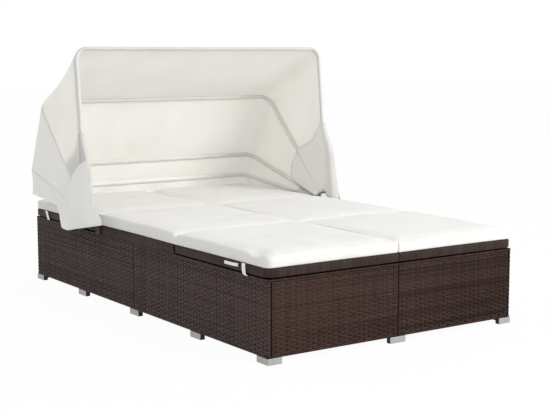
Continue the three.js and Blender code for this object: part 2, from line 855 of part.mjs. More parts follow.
// A thin closed cloth: rows of points on its outer face, rows on its inner face, joined at the rim.
function thinCloth(outerRows, innerRows) {
  const columns = outerRows[0].length;
  const rows = outerRows.length;
  const points = [...outerRows.flat(), ...innerRows.flat()];
  const inner = rows * columns;
  const faces = [];
  const quad = (a, b, c, d) => {
    faces.push(a, c, b, a, d, c);
  };
  for (let row = 0; row + 1 < rows; row += 1) {
    for (let column = 0; column + 1 < columns; column += 1) {
      const a = row * columns + column;
      const b = a + 1;
      const d = a + columns;
      const c = d + 1;
      quad(a, d, c, b);
      quad(inner + a, inner + b, inner + c, inner + d);
    }
  }
  for (let column = 0; column + 1 < columns; column += 1) {
    const last = (rows - 1) * columns;
    quad(column, column + 1, inner + column + 1, inner + column);
    quad(last + column + 1, last + column, inner + last + column, inner + last + column + 1);
  }
  for (let row = 0; row + 1 < rows; row += 1) {
    const a = row * columns;
    const b = a + columns;
    quad(b, a, inner + a, inner + b);
    const c = a + columns - 1;
    const d = b + columns - 1;
    quad(c, d, inner + d, inner + c);
  }
  const geometry = new THREE.BufferGeometry().setFromPoints(points);
  geometry.setIndex(faces);
  geometry.computeVertexNormals();
  return geometry;
}

// A row of cloth points a share of the way between two bows, kept clear of the neighbours' edges.
function clothRow(first, second, share, depth) {
  const bow = bowBetween(first, second, share);
  const offset = bowRadius + clothGap + clothThickness - depth;
  return clothStations().map((station) => {
    const place = clothPlace(bow, station, offset);
    const edge = THREE.MathUtils.radToDeg(clothEdgeGap / 2 / place.reach);
    const angle = THREE.MathUtils.lerp(first.angle + edge, second.angle - edge, share);
    return bowPoint(place.x, place.reach, angle);
  });
}

// A cloth panel stretched between two bows.
function clothPanel(first, second, rowShares) {
  const outer = rowShares.map((share) => clothRow(first, second, share, 0));
  const inner = rowShares.map((share) => clothRow(first, second, share, clothThickness));
  return { outer, inner };
}

// How far the hem hangs below the rear bow at a point: a rounded scallop on the sides with soft
// folds, none near the rear corners, and a short valance behind the bed.
function hemDrop(station, point) {
  const [part, , around] = station;
  if (part === "top") {
    return valanceDrop;
  }
  if (part === "corner") {
    return valanceDrop * THREE.MathUtils.smoothstep(around, 0, 1);
  }
  const along = point.y - pivotY;
  const share = THREE.MathUtils.clamp((along - skirtStart) / (skirtEnd - skirtStart), 0, 1);
  return bowRadius + (skirtDrop - bowRadius) * Math.sin(Math.PI * share);
}

// The part of the rear panel that hangs from the rear bow to the hem.
function hangingRow(row, share) {
  const stations = clothStations();
  return row.map((point, column) => {
    const station = stations[column];
    const drop = hemDrop(station, point) * share;
    const side = Math.sign(point.x);
    const slack = drop / skirtDrop;
    const folds = foldDepth * slack * Math.sin(2 * Math.PI * skirtFolds * ((point.y - pivotY) / skirtEnd));
    const out = station[0] === "leg" ? skirtFlare * slack + folds : 0;
    return new THREE.Vector3(point.x + side * out, point.y, point.z - drop);
  });
}

// The rows of cloth: how far each lies from one bow to the next, and from the rear bow to the hem.
const panelShares = [0, 0.25, 0.5, 0.75, 1];
const rearShares = [0, 0.5, 1];
const hangShares = [0.34, 0.67, 1];

// The front panel starts a hem's width in front of the front bow.
function frontPanel() {
  const { outer, inner } = clothPanel(frontBow, secondBow, panelShares);
  const shift = (row) =>
    row.map((point) => {
      const reach = Math.hypot(point.y - pivotY, point.z - pivotZ);
      const angle = frontBow.angle - THREE.MathUtils.radToDeg(frontHem / frontBow.reach);
      return bowPoint(point.x, reach, angle);
    });
  return thinCloth([shift(outer[0]), ...outer], [shift(inner[0]), ...inner]);
}

// The middle panel lies between the second and the third bow.
function middlePanel() {
  const { outer, inner } = clothPanel(secondBow, thirdBow, panelShares);
  return thinCloth(outer, inner);
}

// The rear panel runs over the rear bow and hangs down to the hem.
function rearPanel() {
  const { outer, inner } = clothPanel(thirdBow, rearBow, rearShares);
  const lastOuter = outer[outer.length - 1];
  const lastInner = inner[inner.length - 1];
  for (const share of hangShares) {
    outer.push(hangingRow(lastOuter, share));
    inner.push(hangingRow(lastInner, share));
  }
  return thinCloth(outer, inner);
}

const sides = [["left", -1], ["right", 1]];
const ends = [["head", 1], ["foot", -1]];

for (const [sideName, side] of sides) {
  for (const [endName, end] of ends) {
    addPiece(`side_panel_${sideName}_${endName}`, sidePanel(side, end), colours.weave);
    addPiece(`end_panel_${endName}_${sideName}`, endPanel(side, end), colours.weave);
  }
}

for (const [sideName, side] of sides) {
  addPiece(`side_rail_${sideName}`, sideRail(side), colours.steel);
}
for (const [endName, end] of ends) {
  addPiece(`end_rail_${endName}`, endRail(end), colours.steel);
}
addPiece("centre_beam", centreBeam(), colours.steel);

for (const [sideName, side] of sides) {
  const middle = [-sideLegSpacing, 0, sideLegSpacing].map((y) => sideLeg(side, y));
  const legs = [cornerLeg(side, -1), ...middle, cornerLeg(side, 1)];
  legs.forEach((geometry, place) => {
    addPiece(`leg_${sideName}_${place + 1}`, geometry, colours.foot);
  });
}
addPiece("leg_centre_middle", middleLeg(), colours.foot);
for (const [endName, end] of ends) {
  addPiece(`leg_centre_${endName}`, endLeg(end), colours.foot);
}

const seams = { head: headSeamY, foot: footSeamY };
for (const [endName, end] of ends) {
  const rodEnd = halfWidth - rodInset;
  addPiece(`hinge_rod_${endName}`, barX(rodRadius, -rodEnd, rodEnd, seams[endName], hingeZ), colours.zinc);
}

for (const [sideName, side] of sides) {
  addPiece(`middle_deck_${sideName}`, middleDeck(side), colours.weave);
  const x0 = side * cushionHalfSplit;
  const x1 = side * (halfWidth - cushionSideInset);
  const padY0 = footSeamY + padHingeGap;
  const padY1 = headSeamY - padHingeGap;
  addPiece(`cushion_middle_${sideName}`, cushionPad(x0, x1, padY0, padY1), colours.cushion);
  for (const [endName, end] of ends) {
    const seamY = seams[endName];
    addPiece(`${endName}_flap_${sideName}`, flapDeck(side, seamY, end), colours.weave);
    addPiece(`stay_${endName}_${sideName}`, stay(side, seamY, end), colours.zinc);
    const start = seamY + end * padHingeGap;
    const tip = end * (halfLength - cushionEndInset);
    const pad = cushionPad(x0, x1, start, tip, padTipRadius);
    addPiece(`cushion_${endName}_${sideName}`, pad, colours.cushion);
    addPiece(`cushion_fold_${endName}_${sideName}`, cushionFold(x0, x1, seamY), colours.cushion);
  }
}

for (const [sideName, side] of sides) {
  addPiece(`pivot_bracket_${sideName}`, pivotBracket(side), colours.steel);
}
addPiece("bow_rear", hoodBow(rearBow), colours.bow);
addPiece("bow_third", hoodBow(thirdBow), colours.bow);
addPiece("bow_second", hoodBow(secondBow), colours.bow);
addPiece("bow_front", hoodBow(frontBow), colours.bow);
addPiece("canopy_front_panel", frontPanel(), colours.canvas);
addPiece("canopy_middle_panel", middlePanel(), colours.canvas);
addPiece("canopy_rear_panel", rearPanel(), colours.canvas);

export default daybed;
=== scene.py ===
import json
import math

import bmesh
import bpy
import numpy as np
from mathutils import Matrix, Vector


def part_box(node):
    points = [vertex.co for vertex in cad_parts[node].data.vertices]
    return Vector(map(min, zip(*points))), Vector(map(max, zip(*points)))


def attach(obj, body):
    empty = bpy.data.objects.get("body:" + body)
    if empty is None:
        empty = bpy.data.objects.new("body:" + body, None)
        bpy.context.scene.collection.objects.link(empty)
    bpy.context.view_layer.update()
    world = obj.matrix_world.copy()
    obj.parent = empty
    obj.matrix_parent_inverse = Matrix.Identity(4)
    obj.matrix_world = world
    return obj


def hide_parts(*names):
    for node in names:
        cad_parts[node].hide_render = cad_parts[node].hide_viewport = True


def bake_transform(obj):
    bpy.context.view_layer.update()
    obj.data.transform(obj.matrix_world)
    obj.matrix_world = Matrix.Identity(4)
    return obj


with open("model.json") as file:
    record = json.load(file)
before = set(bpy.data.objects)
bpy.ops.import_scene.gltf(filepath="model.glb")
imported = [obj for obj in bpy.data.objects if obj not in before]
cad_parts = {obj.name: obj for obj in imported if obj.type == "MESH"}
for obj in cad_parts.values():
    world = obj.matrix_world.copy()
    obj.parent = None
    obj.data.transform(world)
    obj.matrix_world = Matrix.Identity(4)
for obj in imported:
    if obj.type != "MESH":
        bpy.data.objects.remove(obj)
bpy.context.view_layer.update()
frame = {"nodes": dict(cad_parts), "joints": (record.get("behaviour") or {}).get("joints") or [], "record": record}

# The bed, read from the frame
joints = {joint["name"]: joint for joint in frame["joints"]}
panel_low, panel_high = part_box("side_panel_left_foot")
HALF_WIDTH = -panel_low.x
HALF_LENGTH = -panel_low.y
PANEL_BOTTOM = panel_low.z
PANEL_TOP = panel_high.z
DECK_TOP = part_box("middle_deck_left")[1].z
DECK_BOTTOM = PANEL_TOP + 0.0003
HEAD_SEAM = joints["head_flap_left_hinge"]["pos_m"][1]
FOOT_SEAM = joints["foot_flap_left_hinge"]["pos_m"][1]
PIVOT_Y, PIVOT_Z = joints["front_bow_fold"]["pos_m"][1:]
SIDES = {"left": -1, "right": 1}
ENDS = {"head": 1, "foot": -1}

# Woven box
WEFT_PITCH = 0.0086
WEFT_WIDTH = 0.0076
WEFT_THICKNESS = 0.0011
WARP_PITCH = 0.024
WARP_WIDTH = 0.0066
WARP_THICKNESS = 0.0009
WEAVE_SWING = 0.0014
WEAVE_DEPTH = 0.0017
WEAVE_FADE = 0.016
STATIONS_PER_WARP = 4
WEFT_JITTER = 0.0003
WEFT_DRIFT_LENGTH = 0.17
WEFT_WIDTH_SPREAD = 0.03
WEFT_TONES = (0.2, 0.8)
WARP_TONES = (0.1, 0.6)
RIM_TONES = (0.2, 0.8)
# Painted light: how much the box's strands are made lighter towards the near end and towards the left side
PAINTED_LIGHT_NEAR = 0.2
PAINTED_LIGHT_LEFT = 0.36
BACKING_DEPTH = 0.0039
BACKING_THICKNESS = 0.0004
CORNER_ROUND = 0.012
CORNER_BAND = 0.015
TUCK_ROUND = 0.003
TUCK_DEPTH = 0.004
GROOVE_ROUND = TUCK_ROUND * 0.6
SEAM_GAP = 0.0008
RIM_HEIGHT = 0.0095
RIM_THICKNESS = 0.0042
WRAP_PITCH = 0.0075
WRAP_SWELL = 0.0003
STATIONS_PER_WRAP = 4
RIM_SIDES = 8
LINER_STATIONS = 24
LINER_MARGIN = 0.001
LIP_WIDTH = 0.040
LIP_THICKNESS = 0.003

# Wrapped rails of the decks
FLAP_LIFT = 0.007
FLAP_SETBACK = 0.009
DECK_SETBACK = 0.007
DECK_CORNER = 0.035
FLAP_SPLIT = 0.0015
SHELL_PROUD = 0.0014
SHELL_CLEAR = 0.0002
SHELL_INNER_ROUND = SHELL_CLEAR * 3
SHELL_EDGE_POINTS = 4
SHELL_FACE_ENDS = (0.003, 0.0005)
SHELL_ROUND = 0.0045
SHELL_REACH = 0.013
THIN_REACH = 0.075
THIN_FADE = 0.02
THIN_PROUD = 0.00015
THIN_INNER = -0.0004
RAIL_TONES = (0.35, 0.65)
RAIL_CORNER_STEPS = 16

# Feet
FOOT_HEIGHT = 0.0247
FOOT_LENGTH = 0.076
FOOT_DEPTH = 0.022
CORNER_FOOT_LENGTH = 0.073
CORNER_FOOT_WIDTH = 0.062
MIDDLE_FOOT_SIZE = 0.050
FOOT_ROUND = 0.0016
POST_SIZE = 0.017
CORNER_POST_SETBACK = 0.025
RAIL_BOTTOM = 0.2754
POST_INSET = 0.0128
SIDE_STATIONS = (-0.5, 0.0, 0.5)
FOOT_RING_SHARES = (0, 0.3, 1)
FOOT_INSET_SHARES = (0.8, 0.25, 0, 0, 0.25, 0.8)
FOOT_CORNER_STEPS = 4

# Cushions
PAD_BOTTOM = DECK_TOP + 0.0005
PAD_SIDE = 0.047
PAD_CROWN = 0.003
PAD_EDGE_ROUND = 0.013
PAD_SPLIT_EDGE_ROUND = 0.005
PAD_UNDER_ROUND = 0.004
PAD_VOXEL = 0.013
PAD_PRESSURE = 4.0
PAD_FRAMES = 20
PAD_RISE = 0.008
PAD_OVER_RAIL = 0.0024
PAD_SIDE_INSET = 0.0005
PAD_END_INSET = 0.004
PAD_SPLIT = 0.0006
PAD_TIP_ROUND = 0.030
PAD_SPLIT_ROUND = 0.008
PAD_ON_RAIL = 0.0165
PAD_ON_DECK = 0.021
PAD_DRAWN_IN = 0.003
PAD_BULGE = 0.0015
PAD_SPACING = 0.013
PAD_TURN_LINES = 6
PAD_SIDE_LINES = 6
PAD_CROWN_RISE = 0.05
PAD_SIDE_REACH = 0.08
PAD_TIP_MARGIN = 0.09
PAD_QUALITY = 4
LIFT_CELL = 0.016
CREASE_DEPTH = 0.009
CREASE_WIDTH = 0.009
CREASE_REACH = 0.030
CREASE_LINES = 21
CREASE_PINCH = 0.004
CREASE_WANDERS = ((0.003, 0.09), (0.002, 0.037))
HOLLOW_DEPTH = 0.003
HOLLOW_WIDTH = 0.06
SLACK_HEIGHT = 0.0009
SLACK_LENGTHS = (0.083, 0.117, 0.061)

# Hood
BOW_RADIUS = 0.0063
BOW_CORNER = 0.050
BUSH_RADIUS = 0.010
BUSH_HALF = 0.0067
BUSH_BORE = 0.0045
BOW_FOOT_MARGIN = 0.001
BAR_AWAY = 0.3
BAR_MARGIN = 0.004
MIDDLE_BEHIND_PIVOT = 0.3
TUBE_SIDES = 16
TUBE_CORNER_STEPS = 14
LEG_STEPS = 46
CORNER_STEPS = 14
TOP_STEPS = 90
PANEL_ROWS = 33
CLOTH_THICKNESS = 0.0010
CLOTH_GAP = 0.0010
CLOTH_START = 0.042
CLOTH_SETTLE = 0.260
CLOTH_SAG = {"front": 0.013, "middle": 0.008, "rear": 0.004}
CLOTH_FOOT_X = 0.6722
PLEAT_DEPTH = 0.0045
PLEAT_FADE = 0.16
PLEATS_PER_TURN = 21
WAVE_DEPTH = 0.0022
WAVE_LENGTH = 0.071
DRAG_DEPTH = 0.0018
DRAG_LENGTH = 0.043
SKIRT_FLARE = 0.020
SKIRT_FULL_DROP = 0.09
SKIRT_FOLD_DEPTH = 0.006
SKIRT_FOLD_LENGTH = 0.031
REAR_ROWS = 13
SKIRT_ROWS = 21
HEM_Y = (0.535, 0.575, 0.610, 0.640, 0.660, 0.685, 0.717, 0.754, 0.810)
HEM_Z = (0.299, 0.300, 0.303, 0.327, 0.358, 0.386, 0.411, 0.430, 0.444)
HEM_UNDER = 0.015
FAR_SKIRT_DROP = 0.056
VALANCE_DROP = 0.054
VALANCE_REACH = 0.15
VALANCE_RIPPLE = 0.005
VALANCE_RIPPLE_LENGTH = 0.045
APRON_REACH = 0.20
APRON_BULGE = 0.042
APRON_PROUD = 0.003
APRON_ROUND = 0.04
APRON_COLUMNS = 23
APRON_HOLD = 8
APRON_EDGE = {
    "left": [
        (-0.674, 0.270, 0.640), (-0.679, 0.252, 0.555), (-0.680, 0.232, 0.446),
        (-0.680, 0.172, 0.427), (-0.680, 0.132, 0.408), (-0.680, 0.128, 0.372),
    ],
    "right": [
        (0.676, 0.345, 0.640), (0.690, 0.333, 0.550), (0.706, 0.310, 0.456),
        (0.720, 0.291, 0.371), (0.721, 0.288, 0.360),
    ],
}
FLARE_TOP = 0.80
FLARE_HEIGHT = 0.43
FLARE_Y = 0.30
FLARE_SPREAD = 0.14
FLARE_FROM_X = 0.5
FLARE_FADE = 0.1
FLARE_OUT = {"left": 0.004, "right": 0.024}
FLARE_AHEAD = {"left": 0.010, "right": 0.008}
POCKET_START = 0.037
POCKET_ROWS = 15
POCKET_COLUMNS = 17
POCKET_WIDEN_RUN = 0.16
POCKET_LAST_SHARE = {"front": 1.0, "middle": 0.95}
WRAP_START = -0.018
# The tone of the rows round the front leg on the right: 0 is the darker colour of painted shade, 1 the plain cloth
WRAP_INNER = (0, 0, 0, 0, 0, 0.5)
WRAP_STEPS = (0.010, -0.004, -0.011, -0.0125, -0.011, -0.006)
WRAP_ASIDE = (0.0105, 0.0105, 0.006, -0.001, -0.008, -0.0108)
WRAP_FLARE = (1, 1, 0.8, 0.35, 0.1, 0)
POCKET_ANGLES = (0, 6, 10, 17, 30, 41, 60, 75)
POCKET_REACHES = (0.385, 0.375, 0.350, 0.312, 0.303, 0.318, 0.300, 0.270)
POCKET_INSET = 0.0110
POCKET_WIDENS = 0.045
CUFF_ANGLES = (-12, -200)
CUFF_FROM = 0.609
CUFF_TO = 0.668
CUFF_RADIUS = 0.024
CUFF_SWELL = 0.007
CUFF_GATHER = 0.0008
CUFF_GATHERS_PER_TURN = 11
CUFF_ROWS = 41
CUFF_COLUMNS = 15
SLEEVE_START = 0.03
SLEEVE_SIDES = 12
SLEEVE_STATIONS = 420
SLEEVE_CRUMPLES = ((0.05, 0.021), (0.03, 0.0083))
# Painted shade on the bows' tunnels and hem: where the darker band starts, how fast it comes in, and its share on
# the legs
SHADE_BAND_START = 0.24
SHADE_BAND_FADE = 0.14
LEG_SHADE = 0.55
BAND_HALF = 0.0112
BAND_DEPTH = 0.0076
HEM_HALF = 0.0100
HEM_DEPTH = 0.0085

# Ties of the cushions
TAPE_THICKNESS = 0.0012
TAPE_OUT = 0.0036
TAPE_ROUND = 0.006
TAPE_CURL = 0.0008
TAPE_ROWS = 24
TAPE_COLUMNS = 7
# Each tape's flap end, its wide direction, its width, and its places: out from the rail, y and z
TAPES = {
    "cushion_tie_foot": ("foot", (0, 1, 0), 0.022, [
        (0, -0.848, 0.3475), (0.001, -0.850, 0.330), (0.003, -0.856, 0.311), (0.005, -0.872, 0.306),
    ]),
    "cushion_knot_foot": ("foot", (0, 0, 1), 0.012, [
        (0.001, -0.722, 0.3335), (0.004, -0.752, 0.3345), (0.005, -0.785, 0.3350), (0.002, -0.816, 0.3360),
    ]),
    "cushion_tie_head": ("head", (0, 1, 0), 0.024, [
        (0, 0.868, 0.3475), (0.002, 0.855, 0.330), (0.004, 0.836, 0.308),
    ]),
}

# Colours, the darker first
# The side and end strands are one rattan; their colours were fitted face by face to how each face is lit, so the
# difference between them is painted light and shade
SIDE_STRAND = ((0.0158, 0.0095, 0.0087), (0.0355, 0.0213, 0.0194), (0.075, 0.0506, 0.0458))
END_STRAND = ((0.0126, 0.0059, 0.0052), (0.0266, 0.0130, 0.0102), (0.055, 0.0303, 0.0237))
RAIL_STRAND = ((0.0155, 0.0087, 0.0073), (0.031, 0.0182, 0.015), (0.0564, 0.0364, 0.031))
# Painted shade: the dark sheet seen through the gaps in the weave
SHADE_BACKING = ((0.008, 0.006, 0.005), (0.016, 0.012, 0.010))
DECK_STRAND = ((0.014, 0.010, 0.009), (0.042, 0.030, 0.026))
PAINT = ((0.018, 0.014, 0.013), (0.040, 0.033, 0.030))
FOOT_SATIN = ((0.35, 0.35, 0.345), (0.44, 0.44, 0.435))
ZINC = ((0.34, 0.35, 0.36), (0.52, 0.53, 0.55))
BOW_SATIN = ((0.50, 0.50, 0.49), (0.66, 0.66, 0.65))
COVER = ((0.70, 0.69, 0.665), (0.765, 0.76, 0.74))
CLOTH = ((0.91, 0.90, 0.865), (0.95, 0.945, 0.92))
PLAIN = ((0.80, 0.79, 0.765), (0.84, 0.835, 0.81))
# Painted shade: the darker colour of the left pockets and of the cloth round the front legs
WRAP_SHADE = ((0.65, 0.64, 0.615), (0.70, 0.692, 0.67))
# Painted shade: the darker colours of the tunnels' bands and of the front hem
BAND_SHADE = ((0.70, 0.685, 0.65), (0.76, 0.745, 0.71))
HEM_SHADE = ((0.55, 0.55, 0.53), (0.62, 0.62, 0.60))
CUFF = ((0.66, 0.65, 0.63), (0.72, 0.712, 0.69))
TAPE = ((0.90, 0.90, 0.89), (0.96, 0.96, 0.95))
FLOOR = ((0.80,) * 3, (0.82,) * 3)

# Weaves: the pitch of their threads, and the bands that a wave texture of scale 1 has in a metre
COVER_THREAD = 0.0011
HOOD_THREAD = 0.0012
BANDS_PER_SCALE = 3.18
DECK_WAVE_SCALE = 21

# How much less light a lined cloth lets through, and the share of that on the far legs and pockets
LINING = 0.75
FAR_LINING = 0.15
POCKET_LINING = 0.5

# Light
AMBIENT = 0.84
FLOOR_WHITE = 0.96
FLOOR_REACH = 30
FLOOR_THICKNESS = 0.02
KEY_SIZE = 4.0
KEY_POWER = 540.0
KEY_PLACE = (3.9, -7.4, 5.0)
KEY_TARGET = (0, 0, 0.4)

# The camera that took the photograph
CAMERA_PLACE = (-2.90286, -4.37298, 1.10159)
CAMERA_AZIMUTH = math.radians(-34.67)
CAMERA_ELEVATION = math.radians(7.415)
CAMERA_LENS = 77.81
SENSOR_WIDTH = 36.0

UP = np.array([0.0, 0.0, 1.0])
STRAND_OUTLINE = np.array([[0.5, 0], [0.35, 0.5], [-0.35, 0.5], [-0.5, 0], [-0.35, -0.5], [0.35, -0.5]])

random = np.random.default_rng(7)


def quad_grid(rows, columns, wrap_rows=False, wrap_columns=False):
    """The quads between the points of a grid, whose rows or columns may close on themselves."""
    row = np.arange(rows if wrap_rows else rows - 1)
    column = np.arange(columns if wrap_columns else columns - 1)
    row, column = np.meshgrid(row, column, indexing="ij")
    next_row, next_column = (row + 1) % rows, (column + 1) % columns
    corners = [
        row * columns + column,
        row * columns + next_column,
        next_row * columns + next_column,
        next_row * columns + column,
    ]
    return np.stack(corners, -1).reshape(-1, 4)


def rim_of(rows, columns):
    """The numbers of the points round the edge of a grid, in order."""
    number = np.arange(rows * columns).reshape(rows, columns)
    return np.concatenate([number[0, :], number[1:, -1], number[-1, -2::-1], number[-2:0:-1, 0]])


def round_angles(sides):
    """The angles of a ring's points, evenly spaced from 0."""
    return np.arange(sides) / sides * 2 * np.pi


def ladder(count):
    """The quads that close a ring of an even number of points, rung by rung across it."""
    rung = np.arange(count // 2 - 1)
    return np.stack([rung, rung + 1, count - 2 - rung, count - 1 - rung], -1)


def volume(points, quads):
    """Six times the volume inside closed quads, above zero where they face outwards."""
    a, b, c, d = (points[quads[:, corner]] for corner in range(4))
    return np.sum(np.cross(b - a, c - a) * a) + np.sum(np.cross(c - a, d - a) * a)


def outward(points, quads):
    """The body with its faces turned outwards."""
    points = points.reshape(-1, 3)
    return (points, quads if volume(points, quads) > 0 else quads[:, ::-1])


def lofted(rings):
    """A closed body through rings of points, an array of ring by point by xyz, capped at both ends."""
    count, around = rings.shape[:2]
    side = quad_grid(count, around, wrap_columns=True)
    cap = ladder(around)
    quads = np.concatenate([side, cap[:, ::-1], cap + (count - 1) * around])
    return outward(rings, quads)


def swept(path, across, upward, profile):
    """A profile carried along a path: point = path + profile x times across + profile y times upward."""
    profile = np.asarray(profile, float)
    if profile.ndim == 2:
        profile = np.broadcast_to(profile, (len(path),) + profile.shape)
    upward = np.broadcast_to(upward, path.shape)
    rings = path[:, None] + profile[..., :1] * across[:, None] + profile[..., 1:] * upward[:, None]
    return lofted(rings)


def piece(name, bodies, materials, smooth=True):
    """One object from closed bodies, each given as points, quads, material number and tone."""
    clouds = [body[0].reshape(-1, 3) for body in bodies]
    points = np.concatenate(clouds)
    starts = np.cumsum([0] + [len(cloud) for cloud in clouds[:-1]])
    quads = np.concatenate([body[1] + start for body, start in zip(bodies, starts)])
    numbers = np.concatenate([np.full(len(body[1]), body[2] if len(body) > 2 else 0) for body in bodies])
    tones = [
        np.broadcast_to(body[3] if len(body) > 3 else 0.5, len(cloud))
        for body, cloud in zip(bodies, clouds)
    ]
    mesh = bpy.data.meshes.new(name)
    mesh.vertices.add(len(points))
    mesh.vertices.foreach_set("co", points.astype(np.float32).ravel())
    mesh.loops.add(quads.size)
    mesh.loops.foreach_set("vertex_index", quads.astype(np.int32).ravel())
    mesh.polygons.add(len(quads))
    mesh.polygons.foreach_set("loop_start", np.arange(0, quads.size, 4, dtype=np.int32))
    mesh.polygons.foreach_set("material_index", numbers.astype(np.int32))
    mesh.polygons.foreach_set("use_smooth", np.full(len(quads), smooth))
    tone = mesh.attributes.new("tone", "FLOAT", "POINT")
    tone.data.foreach_set("value", np.concatenate(tones).astype(np.float32))
    for material in materials:
        mesh.materials.append(material)
    mesh.update(calc_edges=True)
    made = bpy.data.objects.new(name, mesh)
    bpy.context.scene.collection.objects.link(made)
    return made


def unit(vectors):
    """Vectors of length one."""
    return vectors / np.linalg.norm(vectors, axis=-1, keepdims=True)


def rounded_path(corners, radii, steps=8):
    """An open line through corners, each but the ends rounded by an arc of its radius: centre + (sin((1 -
    share) turn) start + sin(share turn) end) / sin turn, with start and end seen from the centre."""
    corners = np.asarray(corners, float)
    runs = [corners[:1]]
    for before, corner, after, radius in zip(corners, corners[1:], corners[2:], radii):
        back, ahead = unit(before - corner), unit(after - corner)
        half = np.arccos(np.clip(back @ ahead, -1, 1)) / 2
        centre = corner + unit(back + ahead) * radius / np.sin(half)
        start = corner + back * radius / np.tan(half) - centre
        end = corner + ahead * radius / np.tan(half) - centre
        turn = np.pi - 2 * half
        share = np.linspace(0, 1, steps + 1)[:, None]
        arc = (np.sin((1 - share) * turn) * start + np.sin(share * turn) * end) / np.sin(turn)
        runs.append(centre + arc)
    runs.append(corners[-1:])
    return np.concatenate(runs)


def evenly(line, count):
    """A line again at an even spacing: lengths along it, its points and its unit tangents."""
    steps = np.linalg.norm(np.diff(line, axis=0), axis=1)
    lengths = np.concatenate([[0], np.cumsum(steps)])
    along = np.linspace(0, lengths[-1], count)
    points = np.stack([np.interp(along, lengths, line[:, axis]) for axis in range(line.shape[1])], -1)
    return along, points, unit(np.gradient(points, along, axis=0))


def length_of(line):
    """The length of a line: the sum of the distances between its points."""
    return np.linalg.norm(np.diff(line, axis=0), axis=1).sum()


def in_plan(line, count, z=0.0):
    """A line in plan made even and lifted to a height, with the directions that point out of the bed."""
    along, points, tangents = evenly(line, count)
    normals = np.stack([tangents[:, 1], -tangents[:, 0]], -1)
    middle = count // 2
    if normals[middle] @ points[middle] < 0:
        normals = -normals
    lift = np.full((count, 1), z)
    flat = np.zeros((count, 1))
    return along, np.hstack([points, lift]), np.hstack([normals, flat])


def rounded_rectangle(half_x, half_y, radius, steps=4):
    """A closed ring in plan: a rectangle whose corners are arcs, as an array of point by xy."""
    angles = (np.arange(4)[:, None] + np.linspace(0, 1, steps + 1)) * np.pi / 2
    signs = np.array([[1, 1], [-1, 1], [-1, -1], [1, -1]])[:, None]
    centres = signs * np.array([half_x - radius, half_y - radius])
    arcs = centres + radius * np.stack([np.cos(angles), np.sin(angles)], -1)
    return arcs.reshape(-1, 2)


def smoothstep(value):
    """0 below 0, 1 above 1 and a smooth S between them."""
    share = np.clip(value, 0, 1)
    return share * share * (3 - 2 * share)


# Materials

def add(tree, kind, inputs=(), **settings):
    """Adds a node to a tree. An input is a plain value, or the output of another node."""
    made = tree.nodes.new(kind)
    for name, value in settings.items():
        setattr(made, name, value)
    for name, value in dict(inputs).items():
        if isinstance(value, bpy.types.NodeSocket):
            tree.links.new(value, made.inputs[name])
        else:
            made.inputs[name].default_value = value
    return made


def finish_of(name, roughness, **sockets):
    """A new material with its tree and its main shader."""
    material = bpy.data.materials.new(name)
    material.use_nodes = True
    tree = material.node_tree
    shader = tree.nodes["Principled BSDF"]
    shader.inputs["Roughness"].default_value = roughness
    for socket, value in sockets.items():
        shader.inputs[socket.replace("_", " ")].default_value = value
    return material, tree, shader


def place_on(tree, scale=(1, 1, 1)):
    """Object coordinates, stretched by a scale."""
    coordinates = add(tree, "ShaderNodeTexCoord").outputs["Object"]
    return add(tree, "ShaderNodeMapping", {"Vector": coordinates, "Scale": scale}).outputs["Vector"]


def noise(tree, vector, scale, detail=3.0, roughness=0.55):
    """Clouds of a given scale, from 0 to 1."""
    inputs = {"Vector": vector, "Scale": scale, "Detail": detail, "Roughness": roughness}
    return add(tree, "ShaderNodeTexNoise", inputs).outputs["Fac"]


def ramp(tree, value, stops):
    """A colour ramp with stops given as place and colour."""
    made = add(tree, "ShaderNodeValToRGB", {"Fac": value})
    elements = made.color_ramp.elements
    stops = list(stops)
    while len(elements) < len(stops):
        elements.new(0.5)
    for element, (at, colour) in zip(elements, stops):
        element.position = at
        element.color = (*colour, 1.0)
    return made.outputs["Color"]


def arithmetic(tree, operation, first, second):
    """The result of one step of arithmetic on two values or outputs."""
    made = add(tree, "ShaderNodeMath", operation=operation)
    for socket, value in zip(made.inputs, (first, second)):
        if isinstance(value, bpy.types.NodeSocket):
            tree.links.new(value, socket)
        else:
            socket.default_value = value
    return made.outputs["Value"]


def bump(tree, shader, height, distance, strength=1.0):
    """Lets a height raise the shader's surface by up to a distance."""
    inputs = {"Height": height, "Distance": distance, "Strength": strength}
    tree.links.new(add(tree, "ShaderNodeBump", inputs).outputs["Normal"], shader.inputs["Normal"])


def linked(tree, value, shader, socket):
    """Links an output to a socket of the shader."""
    tree.links.new(value, shader.inputs[socket])


def blended(tree, first, second, share):
    """A share of the second added to the rest of the first."""
    rest = arithmetic(tree, "MULTIPLY", first, 1 - share)
    return arithmetic(tree, "ADD", rest, arithmetic(tree, "MULTIPLY", second, share))


def mixed_in(tree, shader, other, share):
    """Mixes a share of another shader's output into the main shader."""
    mix = add(tree, "ShaderNodeMixShader", {"Fac": share})
    tree.links.new(shader.outputs["BSDF"], mix.inputs[1])
    tree.links.new(other, mix.inputs[2])
    tree.links.new(mix.outputs["Shader"], tree.nodes["Material Output"].inputs["Surface"])


def bands(tree, vector, scale, distortion, direction):
    """Level bands across one direction, broken up a little."""
    inputs = {"Vector": vector, "Scale": scale, "Distortion": distortion}
    return add(tree, "ShaderNodeTexWave", inputs, wave_type="BANDS", bands_direction=direction).outputs["Fac"]


